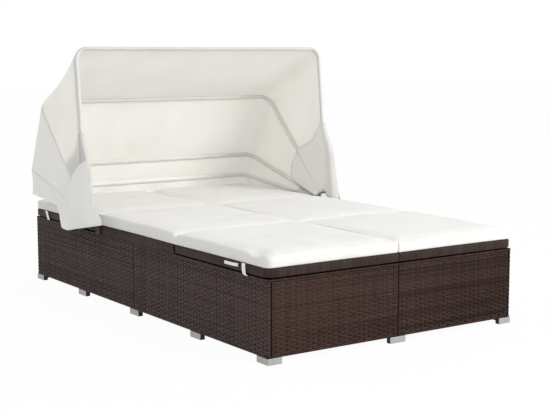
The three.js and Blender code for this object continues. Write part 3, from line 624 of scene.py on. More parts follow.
def strand_material(name, colours):
    """Flat plastic strand: each strand has its own tone, which on the box's panels also carries painted light,
    with fine streaks along it and dull patches.
    """
    material, tree, shader = finish_of(name, 0.5, Specular_IOR_Level=0.1)
    tone = add(tree, "ShaderNodeAttribute", attribute_name="tone").outputs["Fac"]
    patches = noise(tree, place_on(tree, (9, 9, 16)), 1.0, 4)
    streaks = noise(tree, place_on(tree, (60, 60, 900)), 1.0, 2)
    columns = noise(tree, place_on(tree, (34, 34, 0.6)), 1.0, 1)
    mixed = arithmetic(tree, "MULTIPLY", tone, 0.46)
    for part, share in ((patches, 0.22), (columns, 0.26), (streaks, 0.14)):
        mixed = arithmetic(tree, "ADD", mixed, arithmetic(tree, "MULTIPLY", part, share))
    linked(tree, ramp(tree, mixed, zip((0.22, 0.5, 0.78), colours)), shader, "Base Color")
    dull = ramp(tree, patches, [(0.3, (0.40,) * 3), (0.75, (0.62,) * 3)])
    linked(tree, dull, shader, "Roughness")
    bump(tree, shader, streaks, 0.0002, 0.7)
    return material


def painted_shade_backing():
    """Painted shade behind the strands: a dull dark sheet with faint mottling, standing in for the shade inside
    the box.
    """
    material, tree, shader = finish_of("weave_painted_shade_backing", 0.9, Specular_IOR_Level=0.1)
    mottle = noise(tree, place_on(tree), 60, 3)
    linked(tree, ramp(tree, mottle, zip((0.3, 0.7), SHADE_BACKING)), shader, "Base Color")
    bump(tree, shader, mottle, 0.0004)
    return material


def deck_weave():
    """The woven decks under the cushions: strands both ways, as raised squares with dark lines."""
    material, tree, shader = finish_of("deck_weave", 0.55)
    place = place_on(tree)
    along = bands(tree, place, DECK_WAVE_SCALE, 0.3, "X")
    across = bands(tree, place, DECK_WAVE_SCALE, 0.3, "Y")
    height = arithmetic(tree, "MULTIPLY", along, across)
    linked(tree, ramp(tree, height, zip((0.05, 0.5), DECK_STRAND)), shader, "Base Color")
    bump(tree, shader, height, 0.0012)
    return material


def painted_steel():
    """Dark powder coat: fine orange-peel and slightly worn, lighter patches."""
    material, tree, shader = finish_of("painted_steel", 0.5, Specular_IOR_Level=0.25)
    peel = noise(tree, place_on(tree), 900, 2)
    wear = noise(tree, place_on(tree), 14, 5)
    linked(tree, ramp(tree, wear, zip((0.35, 0.8), PAINT)), shader, "Base Color")
    bump(tree, shader, peel, 0.0001, 0.5)
    return material


def satin_metal(name, colours, roughness, grain=(40, 40, 700)):
    """Satin metal with brushed streaks and faint dull clouds."""
    material, tree, shader = finish_of(name, roughness, Metallic=0.55)
    streaks = noise(tree, place_on(tree, grain), 1.0, 3)
    clouds = noise(tree, place_on(tree), 22, 4)
    mixed = blended(tree, streaks, clouds, 0.5)
    linked(tree, ramp(tree, mixed, zip((0.3, 0.7), colours)), shader, "Base Color")
    rough = ramp(tree, clouds, [(0.3, (roughness - 0.08,) * 3), (0.7, (roughness + 0.12,) * 3)])
    linked(tree, rough, shader, "Roughness")
    bump(tree, shader, streaks, 0.00008, 0.6)
    return material


def thread_height(tree, vector, pitch):
    """Threads both ways: two sets of fine bands across each other, broken up a little."""
    scale = 1.0 / pitch / BANDS_PER_SCALE
    along, across = (bands(tree, vector, scale, 0.6, direction) for direction in "XY")
    return arithmetic(tree, "MAXIMUM", along, across)


def cushion_cover():
    """Off-white outdoor cover: a plain weave of thick yarn, faintly mottled, with a soft sheen."""
    material, tree, shader = finish_of("cushion_cover", 0.92, Sheen_Weight=0.15, Sheen_Roughness=0.6)
    threads = thread_height(tree, place_on(tree), COVER_THREAD)
    mottle = noise(tree, place_on(tree), 11, 5)
    slub = noise(tree, place_on(tree, (30, 400, 30)), 1.0, 2)
    mixed = blended(tree, mottle, slub, 0.3)
    linked(tree, ramp(tree, mixed, zip((0.3, 0.7), COVER)), shader, "Base Color")
    bump(tree, shader, threads, 0.00025, 0.5)
    return material


def hood_cloth(name, colours, glow, banded=False):
    """Thin plain-weave cloth that lets some light through, less where the piece is lined, with threads
    along its own sizes. A banded one goes from its first two colours to its last two with the tone, which on the
    bands, hems and pockets is painted shade."""
    material, tree, shader = finish_of(name, 0.9, Sheen_Weight=0.1, Specular_IOR_Level=0.2)
    own = add(tree, "ShaderNodeAttribute", attribute_name="cloth_place").outputs["Vector"]
    threads = thread_height(tree, own, HOOD_THREAD)
    cloud = noise(tree, own, 6, 5)
    stretched = add(tree, "ShaderNodeMapping", {"Vector": own, "Scale": (12, 260, 1)}).outputs["Vector"]
    slub = noise(tree, stretched, 1.0, 2)
    mixed = blended(tree, cloud, slub, 0.3)
    places = (0.3, 0.7)
    if banded:
        tone = add(tree, "ShaderNodeAttribute", attribute_name="tone").outputs["Fac"]
        faint = arithmetic(tree, "MULTIPLY", mixed, 0.3)
        mixed = arithmetic(tree, "ADD", faint, arithmetic(tree, "MULTIPLY", tone, 0.6))
        places = (0.09, 0.21, 0.69, 0.81)
    colour = ramp(tree, mixed, zip(places, colours))
    linked(tree, colour, shader, "Base Color")
    bump(tree, shader, threads, 0.0002, 0.4)
    through = add(tree, "ShaderNodeBsdfTranslucent", {"Color": colour})
    lined = add(tree, "ShaderNodeAttribute", attribute_name="lined").outputs["Fac"]
    single = arithmetic(tree, "SUBTRACT", 1.0, arithmetic(tree, "MULTIPLY", lined, LINING))
    mixed_in(tree, shader, through.outputs["BSDF"], arithmetic(tree, "MULTIPLY", single, glow))
    return material


# Side and end strands: one rattan in two colours, the difference being painted light and shade
side_strand = strand_material("side_strand", SIDE_STRAND)
end_strand = strand_material("end_strand", END_STRAND)
rail_strand = strand_material("rail_strand", RAIL_STRAND)
shade_backing = painted_shade_backing()
deck_top_weave = deck_weave()
frame_paint = painted_steel()
foot_metal = satin_metal("foot_satin", FOOT_SATIN, 0.5)
zinc_plate = satin_metal("zinc_plate", ZINC, 0.34)
bow_metal = satin_metal("bow_satin", BOW_SATIN, 0.38, (300, 300, 40))
cover = cushion_cover()
hood_outer = hood_cloth("hood_cloth", CLOTH, 0.5)
# Painted shade: the tunnels and the hem go darker along the bows with their tone
hood_band_painted_shade = hood_cloth("hood_band_painted_shade", PLAIN + BAND_SHADE, 0.02, banded=True)
hood_hem_painted_shade = hood_cloth("hood_hem_painted_shade", PLAIN + HEM_SHADE, 0.02, banded=True)
# Painted shade: the pockets' darker colour comes in with a low tone
pocket_cloth = hood_cloth("pocket_cloth", WRAP_SHADE + CLOTH, 0.2, banded=True)
cuff_cloth = hood_cloth("cuff_cloth", CUFF, 0.1)
tie_cloth = hood_cloth("tie_cloth", TAPE, 0.1)


# The woven box

def random_tone_and_painted_light(points, low, high):
    """The tone of a strand at its points: its own random tone, and painted light: a slow change from the near left
    corner of the bed, which is lightest, to the far right, standing in for light falling off across the bed."""
    bias = -PAINTED_LIGHT_NEAR * points[..., 1] / HALF_LENGTH - PAINTED_LIGHT_LEFT * points[..., 0] / HALF_WIDTH
    return np.clip(random.uniform(low, high) + bias, 0, 1)


def weft_strands(line, z_low, z_high):
    """Every level strand of a panel at once. A strand's middle lies on the line, moved in and out by
    swing x cos(pi x length / warp pitch + pi x row), so that next rows pass the warps on other sides."""
    warps = max(int(round(length_of(line) / WARP_PITCH)), 2)
    along, points, normals = in_plan(line, warps * STATIONS_PER_WARP + 1)
    rows = int(round((z_high - z_low) / WEFT_PITCH))
    row = np.arange(rows)
    pitch = along[-1] / warps
    fade = smoothstep(along / WEAVE_FADE) * smoothstep((along[-1] - along) / WEAVE_FADE)
    wave = np.cos(np.pi * along / pitch + np.pi * row[:, None]) * fade * WEAVE_SWING
    jitter = random.normal(0, WEFT_JITTER, (rows, 1))
    jitter = jitter + WEFT_JITTER * np.sin(along / WEFT_DRIFT_LENGTH + random.uniform(0, 6, (rows, 1)))
    height = z_low + (row[:, None] + 0.5) * (z_high - z_low) / rows + jitter
    width = WEFT_WIDTH * (1 + random.normal(0, WEFT_WIDTH_SPREAD, (rows, 1, 1)))
    out = wave[..., None] - WEAVE_DEPTH + STRAND_OUTLINE[:, 1] * WEFT_THICKNESS
    rings = points[None, :, None] + normals[None, :, None] * out[..., None]
    rings = rings + UP * (height[..., None] + STRAND_OUTLINE[:, 0] * width)[..., None]
    return [(*lofted(ring), 0, random_tone_and_painted_light(ring, *WEFT_TONES).ravel()) for ring in rings]


def warp_strands(line, z_low, z_high):
    """The upright strands of a panel, one at every warp pitch along the line."""
    warps = max(int(round(length_of(line) / WARP_PITCH)), 2)
    _, points, normals = in_plan(line, warps * STATIONS_PER_WARP + 1)
    bodies = []
    for place in range(STATIONS_PER_WARP, len(points) - 1, STATIONS_PER_WARP):
        middle = points[place] - normals[place] * WEAVE_DEPTH
        across = np.cross(UP, normals[place])
        path = middle + UP * np.array([z_low, z_high])[:, None]
        outline = STRAND_OUTLINE * (WARP_WIDTH, WARP_THICKNESS)
        tone = np.repeat(random_tone_and_painted_light(path, *WARP_TONES), len(outline))
        bodies.append((*swept(path, np.tile(across, (2, 1)), normals[place], outline), 0, tone))
    return bodies


def turn_tones(count, tones):
    """A random tone for every turn of a winding, the same at all its stations."""
    turns = count // STATIONS_PER_WRAP + 1
    return np.repeat(random.uniform(*tones, turns), STATIONS_PER_WRAP)[:count]


def wrapped_rim(line, z_middle):
    """A rim wound with strand: an oval bar along the line, swollen a little at every turn."""
    count = int(length_of(line) / WRAP_PITCH) * STATIONS_PER_WRAP + 1
    along, points, normals = in_plan(line, count, z_middle)
    points = points - normals * (RIM_THICKNESS / 2 - SHELL_CLEAR)
    angle = round_angles(RIM_SIDES)
    oval = np.stack([np.cos(angle) * RIM_THICKNESS / 2, np.sin(angle) * RIM_HEIGHT / 2], -1)
    swell = WRAP_SWELL * np.abs(np.cos(np.pi * along / WRAP_PITCH))[:, None, None]
    profile = oval + swell * np.stack([np.cos(angle), np.sin(angle)], -1)
    return (*swept(points, normals, UP, profile), 0, np.repeat(turn_tones(count, RIM_TONES), RIM_SIDES))


def shade_liner(line):
    """The thin dark sheet behind the strands, painted shade for the inside of the box: its outline in section,
    carried along the line.
    """
    _, points, normals = in_plan(line, LINER_STATIONS, (PANEL_BOTTOM + PANEL_TOP) / 2)
    half = (PANEL_TOP - PANEL_BOTTOM) / 2 - LINER_MARGIN
    back, front = -BACKING_DEPTH, -BACKING_DEPTH + BACKING_THICKNESS
    outline = [(back, -half), (front, -half), (front, half), (back, half)]
    return (*swept(points, normals, UP, outline), 1)


def slab(low, high):
    """A plain closed board between two corners."""
    low, high = np.minimum(low, high), np.maximum(low, high)
    ring = np.array([[low[0], low[1]], [high[0], low[1]], [high[0], high[1]], [low[0], high[1]]])
    rings = np.stack([np.hstack([ring, np.full((4, 1), z)]) for z in (low[2], high[2])])
    return lofted(rings)


def woven_panel(name, line, tuck_line, lip, material, node):
    """A panel of the box: weft and warp strands, two wound rims, a dark sheet of painted shade behind them and the
    board on its top.
    """
    low, high = PANEL_BOTTOM + RIM_HEIGHT, PANEL_TOP - RIM_HEIGHT
    bodies = weft_strands(tuck_line, low, high) + warp_strands(tuck_line, low, high)
    rims = PANEL_BOTTOM + RIM_HEIGHT / 2, PANEL_TOP - RIM_HEIGHT / 2
    bodies += [wrapped_rim(tuck_line, middle) for middle in rims]
    bodies += [shade_liner(line), (*slab(*lip), 1)]
    made = piece(name, bodies, [material, shade_backing])
    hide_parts(node)
    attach(made, "bed")


def side_panel(side_name, side, end_name, end):
    """A long side's panel: from the seam at mid length, round the corner to the groove on the end."""
    face, corner = side * HALF_WIDTH, end * HALF_LENGTH
    groove, seam = face - side * (CORNER_BAND - SEAM_GAP), end * SEAM_GAP
    line = rounded_path([(face, seam), (face, corner), (groove, corner)], [CORNER_ROUND])
    tuck = rounded_path(
        [(face - side * TUCK_DEPTH, seam), (face, seam), (face, corner), (groove, corner),
         (groove, corner - end * TUCK_DEPTH)],
        [TUCK_ROUND, CORNER_ROUND, GROOVE_ROUND],
    )
    lip = [
        (face - side * BACKING_DEPTH, seam, PANEL_TOP - LIP_THICKNESS),
        (face - side * LIP_WIDTH, corner - end * CORNER_ROUND, PANEL_TOP - SEAM_GAP),
    ]
    name = f"{side_name}_{end_name}"
    woven_panel(f"woven_side_{name}", line, tuck, lip, side_strand, f"side_panel_{name}")


def end_panel(side_name, side, end_name, end):
    """Half of an end's panel: from the seam in the middle to the groove beside the corner."""
    corner = end * HALF_LENGTH
    groove, seam = side * (HALF_WIDTH - CORNER_BAND - SEAM_GAP), side * SEAM_GAP
    line = np.array([(seam, corner), (groove, corner)])
    inside = corner - end * TUCK_DEPTH
    corners = [(seam, inside), (seam, corner), (groove, corner), (groove, inside)]
    tuck = rounded_path(corners, [TUCK_ROUND, TUCK_ROUND])
    lip = [
        (seam, corner - end * BACKING_DEPTH, PANEL_TOP - LIP_THICKNESS),
        (side * (HALF_WIDTH - LIP_WIDTH), corner - end * LIP_WIDTH, PANEL_TOP - SEAM_GAP),
    ]
    name = f"{end_name}_{side_name}"
    woven_panel(f"woven_end_{name}", line, tuck, lip, end_strand, f"end_panel_{name}")


# The wrapped rails

def rail_profile(bottom, top, outer_offset, radius, swell, underside):
    """Half of a rail's wrapping in section: along the top, round the edge, down the face and, where it has
    an underside, round and under. The edges are quarter circles of the radius."""
    quarter = np.linspace(0, np.pi / 2, SHELL_EDGE_POINTS)
    centre = outer_offset + swell - radius
    upper, lower = top + outer_offset + swell, bottom - outer_offset - swell
    over = np.stack([centre + radius * np.sin(quarter), upper - radius * (1 - np.cos(quarter))], -1)
    if underside:
        under = np.stack([centre + radius * np.cos(quarter), lower + radius * (1 - np.sin(quarter))], -1)
        tail = [(-SHELL_REACH, lower)]
    else:
        heights = np.linspace(*(bottom + rise for rise in SHELL_FACE_ENDS), SHELL_EDGE_POINTS)
        under = np.stack([np.full(SHELL_EDGE_POINTS, outer_offset + swell), heights], -1)
        tail = []
    return np.array([(-SHELL_REACH, upper), *over, *under, *tail])


def rail_wrap(name, line, bottom, body, underside=True):
    """The strand wound round a deck's outer rail: a thin shell along the deck's edge, with a slight
    ridge at every turn. Beside the hood's bracket it lies flat, so that the flap can pass."""
    count = int(length_of(line) / WRAP_PITCH) * STATIONS_PER_WRAP + 1
    along, points, normals = in_plan(line, count)
    swells = WRAP_SWELL * np.abs(np.sin(np.pi * along / WRAP_PITCH))
    ring = []
    for swell in np.unique(np.round(swells, 6)):
        outer = rail_profile(bottom, DECK_TOP, SHELL_PROUD, SHELL_ROUND, swell, underside)
        inner = rail_profile(bottom, DECK_TOP, SHELL_CLEAR, SHELL_INNER_ROUND, 0, underside)
        ring.append(np.concatenate([outer, inner[::-1]]))
    profiles = np.array(ring)[np.unique(np.round(swells, 6), return_inverse=True)[1].ravel()]
    beside = np.abs(points[:, 0]) > HALF_WIDTH - SHELL_CLEAR
    thin = (smoothstep((THIN_REACH - np.abs(points[:, 1] - PIVOT_Y)) / THIN_FADE) * beside)[:, None]
    goal = np.repeat([THIN_PROUD, THIN_INNER], profiles.shape[1] // 2)
    across = profiles[..., 0]
    profiles[..., 0] = np.where(across > 0, across + (goal - across) * thin, across)
    tone = np.repeat(turn_tones(count, RAIL_TONES), profiles.shape[1])
    made = piece(name, [(*swept(points, normals, UP, profiles), 0, tone)], [rail_strand])
    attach(made, body)


def rail_wraps(side_name, side):
    """The wrapping of one side: round both flaps' outer edges and along the middle deck."""
    face = side * HALF_WIDTH
    middle = np.array([(face, FOOT_SEAM + DECK_SETBACK), (face, HEAD_SEAM - DECK_SETBACK)])
    rail_wrap(f"rail_wrap_middle_{side_name}", middle, DECK_BOTTOM, "bed", underside=False)
    for end_name, end in ENDS.items():
        seam = HEAD_SEAM if end > 0 else FOOT_SEAM
        tip = end * HALF_LENGTH
        corners = [(face, seam + end * FLAP_SETBACK), (face, tip), (side * FLAP_SPLIT, tip)]
        line = rounded_path(corners, [DECK_CORNER], steps=RAIL_CORNER_STEPS)
        body = f"{end_name}_flap_{side_name}_body"
        rail_wrap(f"rail_wrap_{end_name}_{side_name}", line, PANEL_TOP + FLAP_LIFT, body)


# Feet

def block_rings(low, high, radius):
    """The rings of a block between two corners, its upright and level edges rounded."""
    low, high = np.minimum(low, high), np.maximum(low, high)
    half_x, half_y = (high - low)[:2] / 2
    rise = radius * np.array(FOOT_RING_SHARES)
    heights = np.concatenate([low[2] + rise, high[2] - rise[::-1]])
    rings = []
    for height, inset in zip(heights, radius * np.array(FOOT_INSET_SHARES)):
        ring = rounded_rectangle(half_x - inset, half_y - inset, radius, FOOT_CORNER_STEPS)
        rings.append(np.hstack([ring, np.full((len(ring), 1), height)]))
    return np.array(rings) + (*(low + high)[:2] / 2, 0)


def faces_with_painted_shade(body, facings):
    """Numbers a plate's faces: 0 for those that look out of the bed, 1 for those behind, which take the dark paint
    as painted shade under the box.
    """
    points, quads = body
    corners = points[quads]
    normals = unit(np.cross(corners[:, 2] - corners[:, 0], corners[:, 3] - corners[:, 1]) + 1e-12)
    shown = np.max([normals @ np.array(facing) for facing in facings], axis=0) > 0.5
    return (points, quads, np.where(shown, 0, 1))


def foot(node, plates, facings, post_x, post_y):
    """A foot of flat plates, satin where it looks outwards and dark as painted shade on its faces behind, and the
    dark post that carries a rail.
    """
    bodies = [
        faces_with_painted_shade(lofted(block_rings((x0, y0, 0), (x1, y1, FOOT_HEIGHT), FOOT_ROUND)), facings)
        for x0, x1, y0, y1 in plates
    ]
    half = POST_SIZE / 2
    low, high = (post_x - half, post_y - half, FOOT_HEIGHT / 2), (post_x + half, post_y + half, RAIL_BOTTOM)
    bodies.append((*lofted(block_rings(low, high, FOOT_ROUND)), 1))
    made = piece(f"foot_of_{node}", bodies, [foot_metal, frame_paint], smooth=False)
    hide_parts(node)
    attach(made, "bed")


def feet():
    """Flat feet along the sides and ends, angled ones at the corners, a square one in the middle."""
    half = FOOT_LENGTH / 2
    for side_name, side in SIDES.items():
        face, inner = side * HALF_WIDTH, side * (HALF_WIDTH - FOOT_DEPTH)
        post_x = side * (HALF_WIDTH - POST_INSET)
        for place, y in enumerate(SIDE_STATIONS, 2):
            foot(f"leg_{side_name}_{place}", [(face, inner, y - half, y + half)], [(side, 0, 0)], post_x, y)
        for end, place in ((-1, 1), (1, 5)):
            tip = end * HALF_LENGTH
            plates = [
                (face, inner, tip, tip - end * CORNER_FOOT_LENGTH),
                (inner, side * (HALF_WIDTH - CORNER_FOOT_WIDTH), tip, tip - end * FOOT_DEPTH),
            ]
            post_y = tip - end * CORNER_POST_SETBACK
            foot(f"leg_{side_name}_{place}", plates, [(side, 0, 0), (0, end, 0)], post_x, post_y)
    for end_name, end in ENDS.items():
        tip = end * HALF_LENGTH
        plates = [(-half, half, tip, tip - end * FOOT_DEPTH)]
        foot(f"leg_centre_{end_name}", plates, [(0, end, 0)], 0, end * (HALF_LENGTH - POST_INSET))
    half = MIDDLE_FOOT_SIZE / 2
    foot("leg_centre_middle", [(-half, half, -half, half)], [(1, 0, 0), (0, 1, 0)], 0, 0)


# Cushions

def lines_across(width):
    """The grid lines across a cushion, closer where its edges turn over: radius x (1 - cos angle)."""
    turn = PAD_EDGE_ROUND * (1 - np.cos(np.linspace(0, np.pi / 2, PAD_TURN_LINES)))
    count = round((width - 2 * PAD_EDGE_ROUND) / PAD_SPACING)
    flat = np.linspace(PAD_EDGE_ROUND, width - PAD_EDGE_ROUND, count)[1:-1]
    return np.concatenate([turn, flat, width - turn[::-1]])


def lines_along(length):
    """The grid lines along a cushion, from its foot tip, closer at its ends and at its folds."""
    plain = lines_across(length)
    folds = np.array([FOOT_SEAM, HEAD_SEAM]) + length / 2
    far = np.min(np.abs(plain[:, None] - folds), axis=1) > CREASE_REACH + PAD_SPACING / 3
    close = folds[:, None] + np.linspace(-CREASE_REACH, CREASE_REACH, CREASE_LINES)
    return np.sort(np.concatenate([plain[far], close.ravel()]))


def rounded_corners(points, width, length):
    """Moves a grid's corners onto arcs by (a sqrt(1 - b b / 2), b sqrt(1 - a a / 2)), where a and b run
    from 0 to 1 in a corner's square, and gives every point's distance from the edge."""
    x, y = points[..., 0].copy(), points[..., 1].copy()
    distance = np.minimum(np.minimum(x, width - x), np.minimum(y, length - y))
    for edge_x, radius in ((0.0, PAD_SPLIT_ROUND), (width, PAD_TIP_ROUND)):
        for edge_y in (0.0, length):
            sign_x, sign_y = (1 if edge_x else -1), (1 if edge_y else -1)
            a = sign_x * (points[..., 0] - edge_x) / radius + 1
            b = sign_y * (points[..., 1] - edge_y) / radius + 1
            inside = (a > 0) & (b > 0)
            a, b = np.clip(a, 0, 1), np.clip(b, 0, 1)
            x = np.where(inside, edge_x + sign_x * radius * (a * np.sqrt(1 - b * b / 2) - 1), x)
            y = np.where(inside, edge_y + sign_y * radius * (b * np.sqrt(1 - a * a / 2) - 1), y)
            distance = np.where(inside, radius * (1 - np.sqrt(a * a + b * b - a * a * b * b)), distance)
    return np.stack([x, y], -1), np.maximum(distance, 0)


def turned_over(distance, radius):
    """How far an edge of a given rounding still lies below its flat, at a distance from the edge."""
    return radius - np.sqrt(np.maximum(radius**2 - np.maximum(radius - distance, 0) ** 2, 0))


def pad_form():
    """The right-hand cushion at rest: a grid for its top, rows down its side and a grid for its
    underside, which lies on the deck and, near the edge, just above the wrapped rail."""
    width = HALF_WIDTH - PAD_SIDE_INSET - PAD_SPLIT
    length = 2 * (HALF_LENGTH - PAD_END_INSET)
    x, y = np.meshgrid(lines_across(width), lines_along(length), indexing="ij")
    plan, distance = rounded_corners(np.stack([x, y], -1), width, length)
    split = smoothstep(plan[..., 0] / CREASE_REACH)
    radius = PAD_SPLIT_EDGE_ROUND + (PAD_EDGE_ROUND - PAD_SPLIT_EDGE_ROUND) * split
    crown = PAD_CROWN * (1 - np.exp(-np.maximum(distance - radius, 0) / PAD_CROWN_RISE))
    top = PAD_SIDE - turned_over(distance, radius) + crown
    lifted = 1 - smoothstep((distance - PAD_ON_RAIL) / (PAD_ON_DECK - PAD_ON_RAIL))
    under = PAD_OVER_RAIL * lifted + turned_over(distance, PAD_UNDER_ROUND)
    rim = rim_of(*distance.shape)
    upper = np.concatenate([plan, top[..., None]], -1).reshape(-1, 3)
    lower = np.concatenate([plan, under[..., None]], -1).reshape(-1, 3)
    fall = np.linspace(0, 1, PAD_SIDE_LINES)[1:-1, None, None]
    walls = upper[rim] * (1 - fall) + lower[rim] * fall
    points = np.concatenate([upper, walls.reshape(-1, 3), lower])
    start = len(upper) + np.arange(len(fall)) * len(rim)
    below = len(points) - len(lower)
    rings = np.concatenate([rim[None], start[:, None] + np.arange(len(rim)), rim[None] + below])
    after = np.roll(rings, -1, axis=1)
    side = np.stack([after[:-1], rings[:-1], rings[1:], after[1:]], -1).reshape(-1, 4)
    face = quad_grid(*distance.shape)
    quads = np.concatenate([face, side, face[:, ::-1] + below])
    return outward(points + (PAD_SPLIT, -length / 2, PAD_BOTTOM), quads)


def coordinates(mesh):
    """A mesh's points as an array."""
    points = np.zeros(len(mesh.vertices) * 3, np.float32)
    mesh.vertices.foreach_get("co", points)
    return points.reshape(-1, 3).astype(float)


def applied(made, kind, **settings):
    """Adds a modifier, sets it and keeps its result as the object's mesh."""
    modifier = made.modifiers.new(kind.lower(), kind)
    for name, value in settings.items():
        setattr(modifier, name, value)
    shape = bpy.data.meshes.new_from_object(made.evaluated_get(bpy.context.evaluated_depsgraph_get()))
    made.modifiers.clear()
    made.data = shape


def filled(body):
    """Fills the cover: the cloth solver blows up a coarse copy, held underneath and along the folds, and
    no point moves further than the rise allowed. Gives the rise of the top as a map over the plan."""
    form = piece("cushion_form", [body], [cover])
    applied(form, "REMESH", mode="VOXEL", voxel_size=PAD_VOXEL, use_smooth_shade=True)
    before = coordinates(form.data)
    x, y, z = before.T
    fold = np.minimum(np.abs(y - FOOT_SEAM), np.abs(y - HEAD_SEAM)) < PAD_VOXEL
    held = np.flatnonzero((z < PAD_BOTTOM + PAD_VOXEL) | fold)
    form.vertex_groups.new(name="held").add(held.tolist(), 1.0, "REPLACE")
    solver = form.modifiers.new("filling", "CLOTH")
    solver.settings.vertex_group_mass = "held"
    solver.settings.use_pressure = True
    solver.settings.uniform_pressure_force = PAD_PRESSURE
    solver.settings.effector_weights.gravity = 0.0
    solver.settings.quality = PAD_QUALITY
    solver.point_cache.frame_end = PAD_FRAMES
    for number in range(1, PAD_FRAMES + 1):
        bpy.context.scene.frame_set(number)
    shape = form.evaluated_get(bpy.context.evaluated_depsgraph_get()).to_mesh()
    rise = np.minimum(coordinates(shape)[:, 2] - z, PAD_RISE)
    bpy.data.objects.remove(form)
    bpy.context.scene.frame_set(1)
    upper = z > PAD_BOTTOM + PAD_SIDE - PAD_UNDER_ROUND
    column = (x[upper] / LIFT_CELL).astype(int)
    row = ((y[upper] + HALF_LENGTH) / LIFT_CELL).astype(int)
    size = (math.ceil(HALF_WIDTH / LIFT_CELL) + 1, math.ceil(2 * HALF_LENGTH / LIFT_CELL) + 1)
    total, count = np.zeros(size), np.zeros(size)
    np.add.at(total, (column, row), rise[upper])
    np.add.at(count, (column, row), 1.0)
    return smoothed(total) / np.maximum(smoothed(count), 1e-6)


def smoothed(values):
    """Each cell of a map as the mean of its neighbourhood of three by three."""
    wide = np.pad(values, 1)
    rows, columns = values.shape
    return sum(wide[i:i + rows, j:j + columns] for i in range(3) for j in range(3)) / 9


def read_map(values, x, y):
    """The value of a map between its cells, straight from each cell's middle to the next."""
    across = np.clip(x / LIFT_CELL - 0.5, 0, values.shape[0] - 1.001)
    along = np.clip((y + HALF_LENGTH) / LIFT_CELL - 0.5, 0, values.shape[1] - 1.001)
    i, j = across.astype(int), along.astype(int)
    a, b = across - i, along - j
    low = values[i, j] * (1 - a) + values[i + 1, j] * a
    high = values[i, j + 1] * (1 - a) + values[i + 1, j + 1] * a
    return low * (1 - b) + high * b


def shaped_pad(points, lift, side):
    """Raises the top by the lift, draws the sides in by the sine of their share between two corners, sinks
    the folds by exp(-(distance / width) squared) and gives the cover its slack waves."""
    x, y, z = points.T
    height = np.clip((z - PAD_BOTTOM) / PAD_SIDE, 0, 1)
    z = z + read_map(lift, x, y) * smoothstep(height * 2 - 1)
    edges = [-HALF_LENGTH + PAD_END_INSET, FOOT_SEAM, HEAD_SEAM, HALF_LENGTH - PAD_END_INSET]
    span = np.zeros_like(y)
    for low, high in zip(edges, edges[1:]):
        span += np.where((y >= low) & (y < high), np.sin(np.pi * np.clip((y - low) / (high - low), 0, 1)), 0)
    bulge = np.sin(np.pi * height) * PAD_BULGE
    rim = smoothstep((x - HALF_WIDTH + PAD_SIDE_REACH) / PAD_SIDE_REACH)
    x = x - rim * (PAD_DRAWN_IN * span - bulge)
    ends = smoothstep((np.abs(y) - HALF_LENGTH + PAD_TIP_MARGIN) / PAD_SIDE_REACH)
    middle = np.sin(np.pi * np.clip(x / HALF_WIDTH, 0, 1))
    y = y - np.sign(y) * ends * (PAD_DRAWN_IN * middle - bulge)
    (broad, broad_length), (fine, fine_length) = CREASE_WANDERS
    for seam in (FOOT_SEAM, HEAD_SEAM):
        wander = broad * np.sin(x / broad_length + 2 * seam + side) + fine * np.sin(x / fine_length + side)
        near = np.exp(-(((y - seam - wander) / CREASE_WIDTH) ** 2))
        wide = np.exp(-(((y - seam) / HOLLOW_WIDTH) ** 2))
        z = z - height**3 * (CREASE_DEPTH * near + HOLLOW_DEPTH * wide)
        x = x - rim * CREASE_PINCH * near * height
    across, along, aslant = SLACK_LENGTHS
    slack = np.sin(x / across + 1.3 * side) * np.sin(y / along + 0.7)
    slack = slack + 0.6 * np.sin((x + 0.6 * y) / aslant + side)
    z = z + SLACK_HEIGHT * slack * smoothstep(height * 2 - 1)
    return np.stack([x, y, z], -1) * (side, 1, 1)


def cut_at(made, y, keep):
    """Cuts a mesh on a level line across the bed, keeps one side and closes the cut."""
    work = bmesh.new()
    work.from_mesh(made.data)
    geometry = work.verts[:] + work.edges[:] + work.faces[:]
    cut = bmesh.ops.bisect_plane(
        work, geom=geometry, dist=1e-6, plane_co=(0, y, 0), plane_no=(0, 1, 0),
        clear_outer=keep < 0, clear_inner=keep > 0,
    )
    rim = [edge for edge in cut["geom_cut"] if isinstance(edge, bmesh.types.BMEdge)]
    bmesh.ops.edgenet_fill(work, edges=rim)
    for edge in rim:
        edge.smooth = False
    bmesh.ops.recalc_face_normals(work, faces=work.faces[:])
    work.to_mesh(made.data)
    work.free()


def cushions():
    """Two long cushions side by side. Each is one cover with two folds, made in a head and a foot part
    that meet on the fixed middle deck."""
    points, quads = pad_form()
    lift = filled((points, quads))
    for side_name, side in SIDES.items():
        body = outward(shaped_pad(points, lift, side), quads)
        for end_name, end in ENDS.items():
            made = piece(f"cushion_cover_{end_name}_{side_name}", [body], [cover])
            cut_at(made, (HEAD_SEAM + FOOT_SEAM) / 2, end)
            nodes = [f"cushion_{end_name}_{side_name}", f"cushion_fold_{end_name}_{side_name}"]
            if end > 0:
                nodes.append(f"cushion_middle_{side_name}")
            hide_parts(*nodes)
            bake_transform(made)


# The white tapes that tie the cushions to the decks

def tape(name, places, wide, width, body):
    """A short flat tape: a smooth line through its places, as wide as given in the wide direction, curled
    more towards its end by the cosine of the place across it."""
    _, points, _ = evenly(rounded_path(places, [TAPE_ROUND] * (len(places) - 2), steps=5), TAPE_ROWS)
    across = np.linspace(-0.5, 0.5, TAPE_COLUMNS)[None, :, None] * width * np.array(wide)
    grid = points[:, None] + across
    curl = TAPE_CURL * np.cos(np.linspace(-1, 1, TAPE_COLUMNS) * 4)
    grid[..., 0] -= curl * np.linspace(0, 1, TAPE_ROWS)[:, None]
    made = cloth_piece(name, grid, TAPE_THICKNESS, tie_cloth)
    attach(made, body)


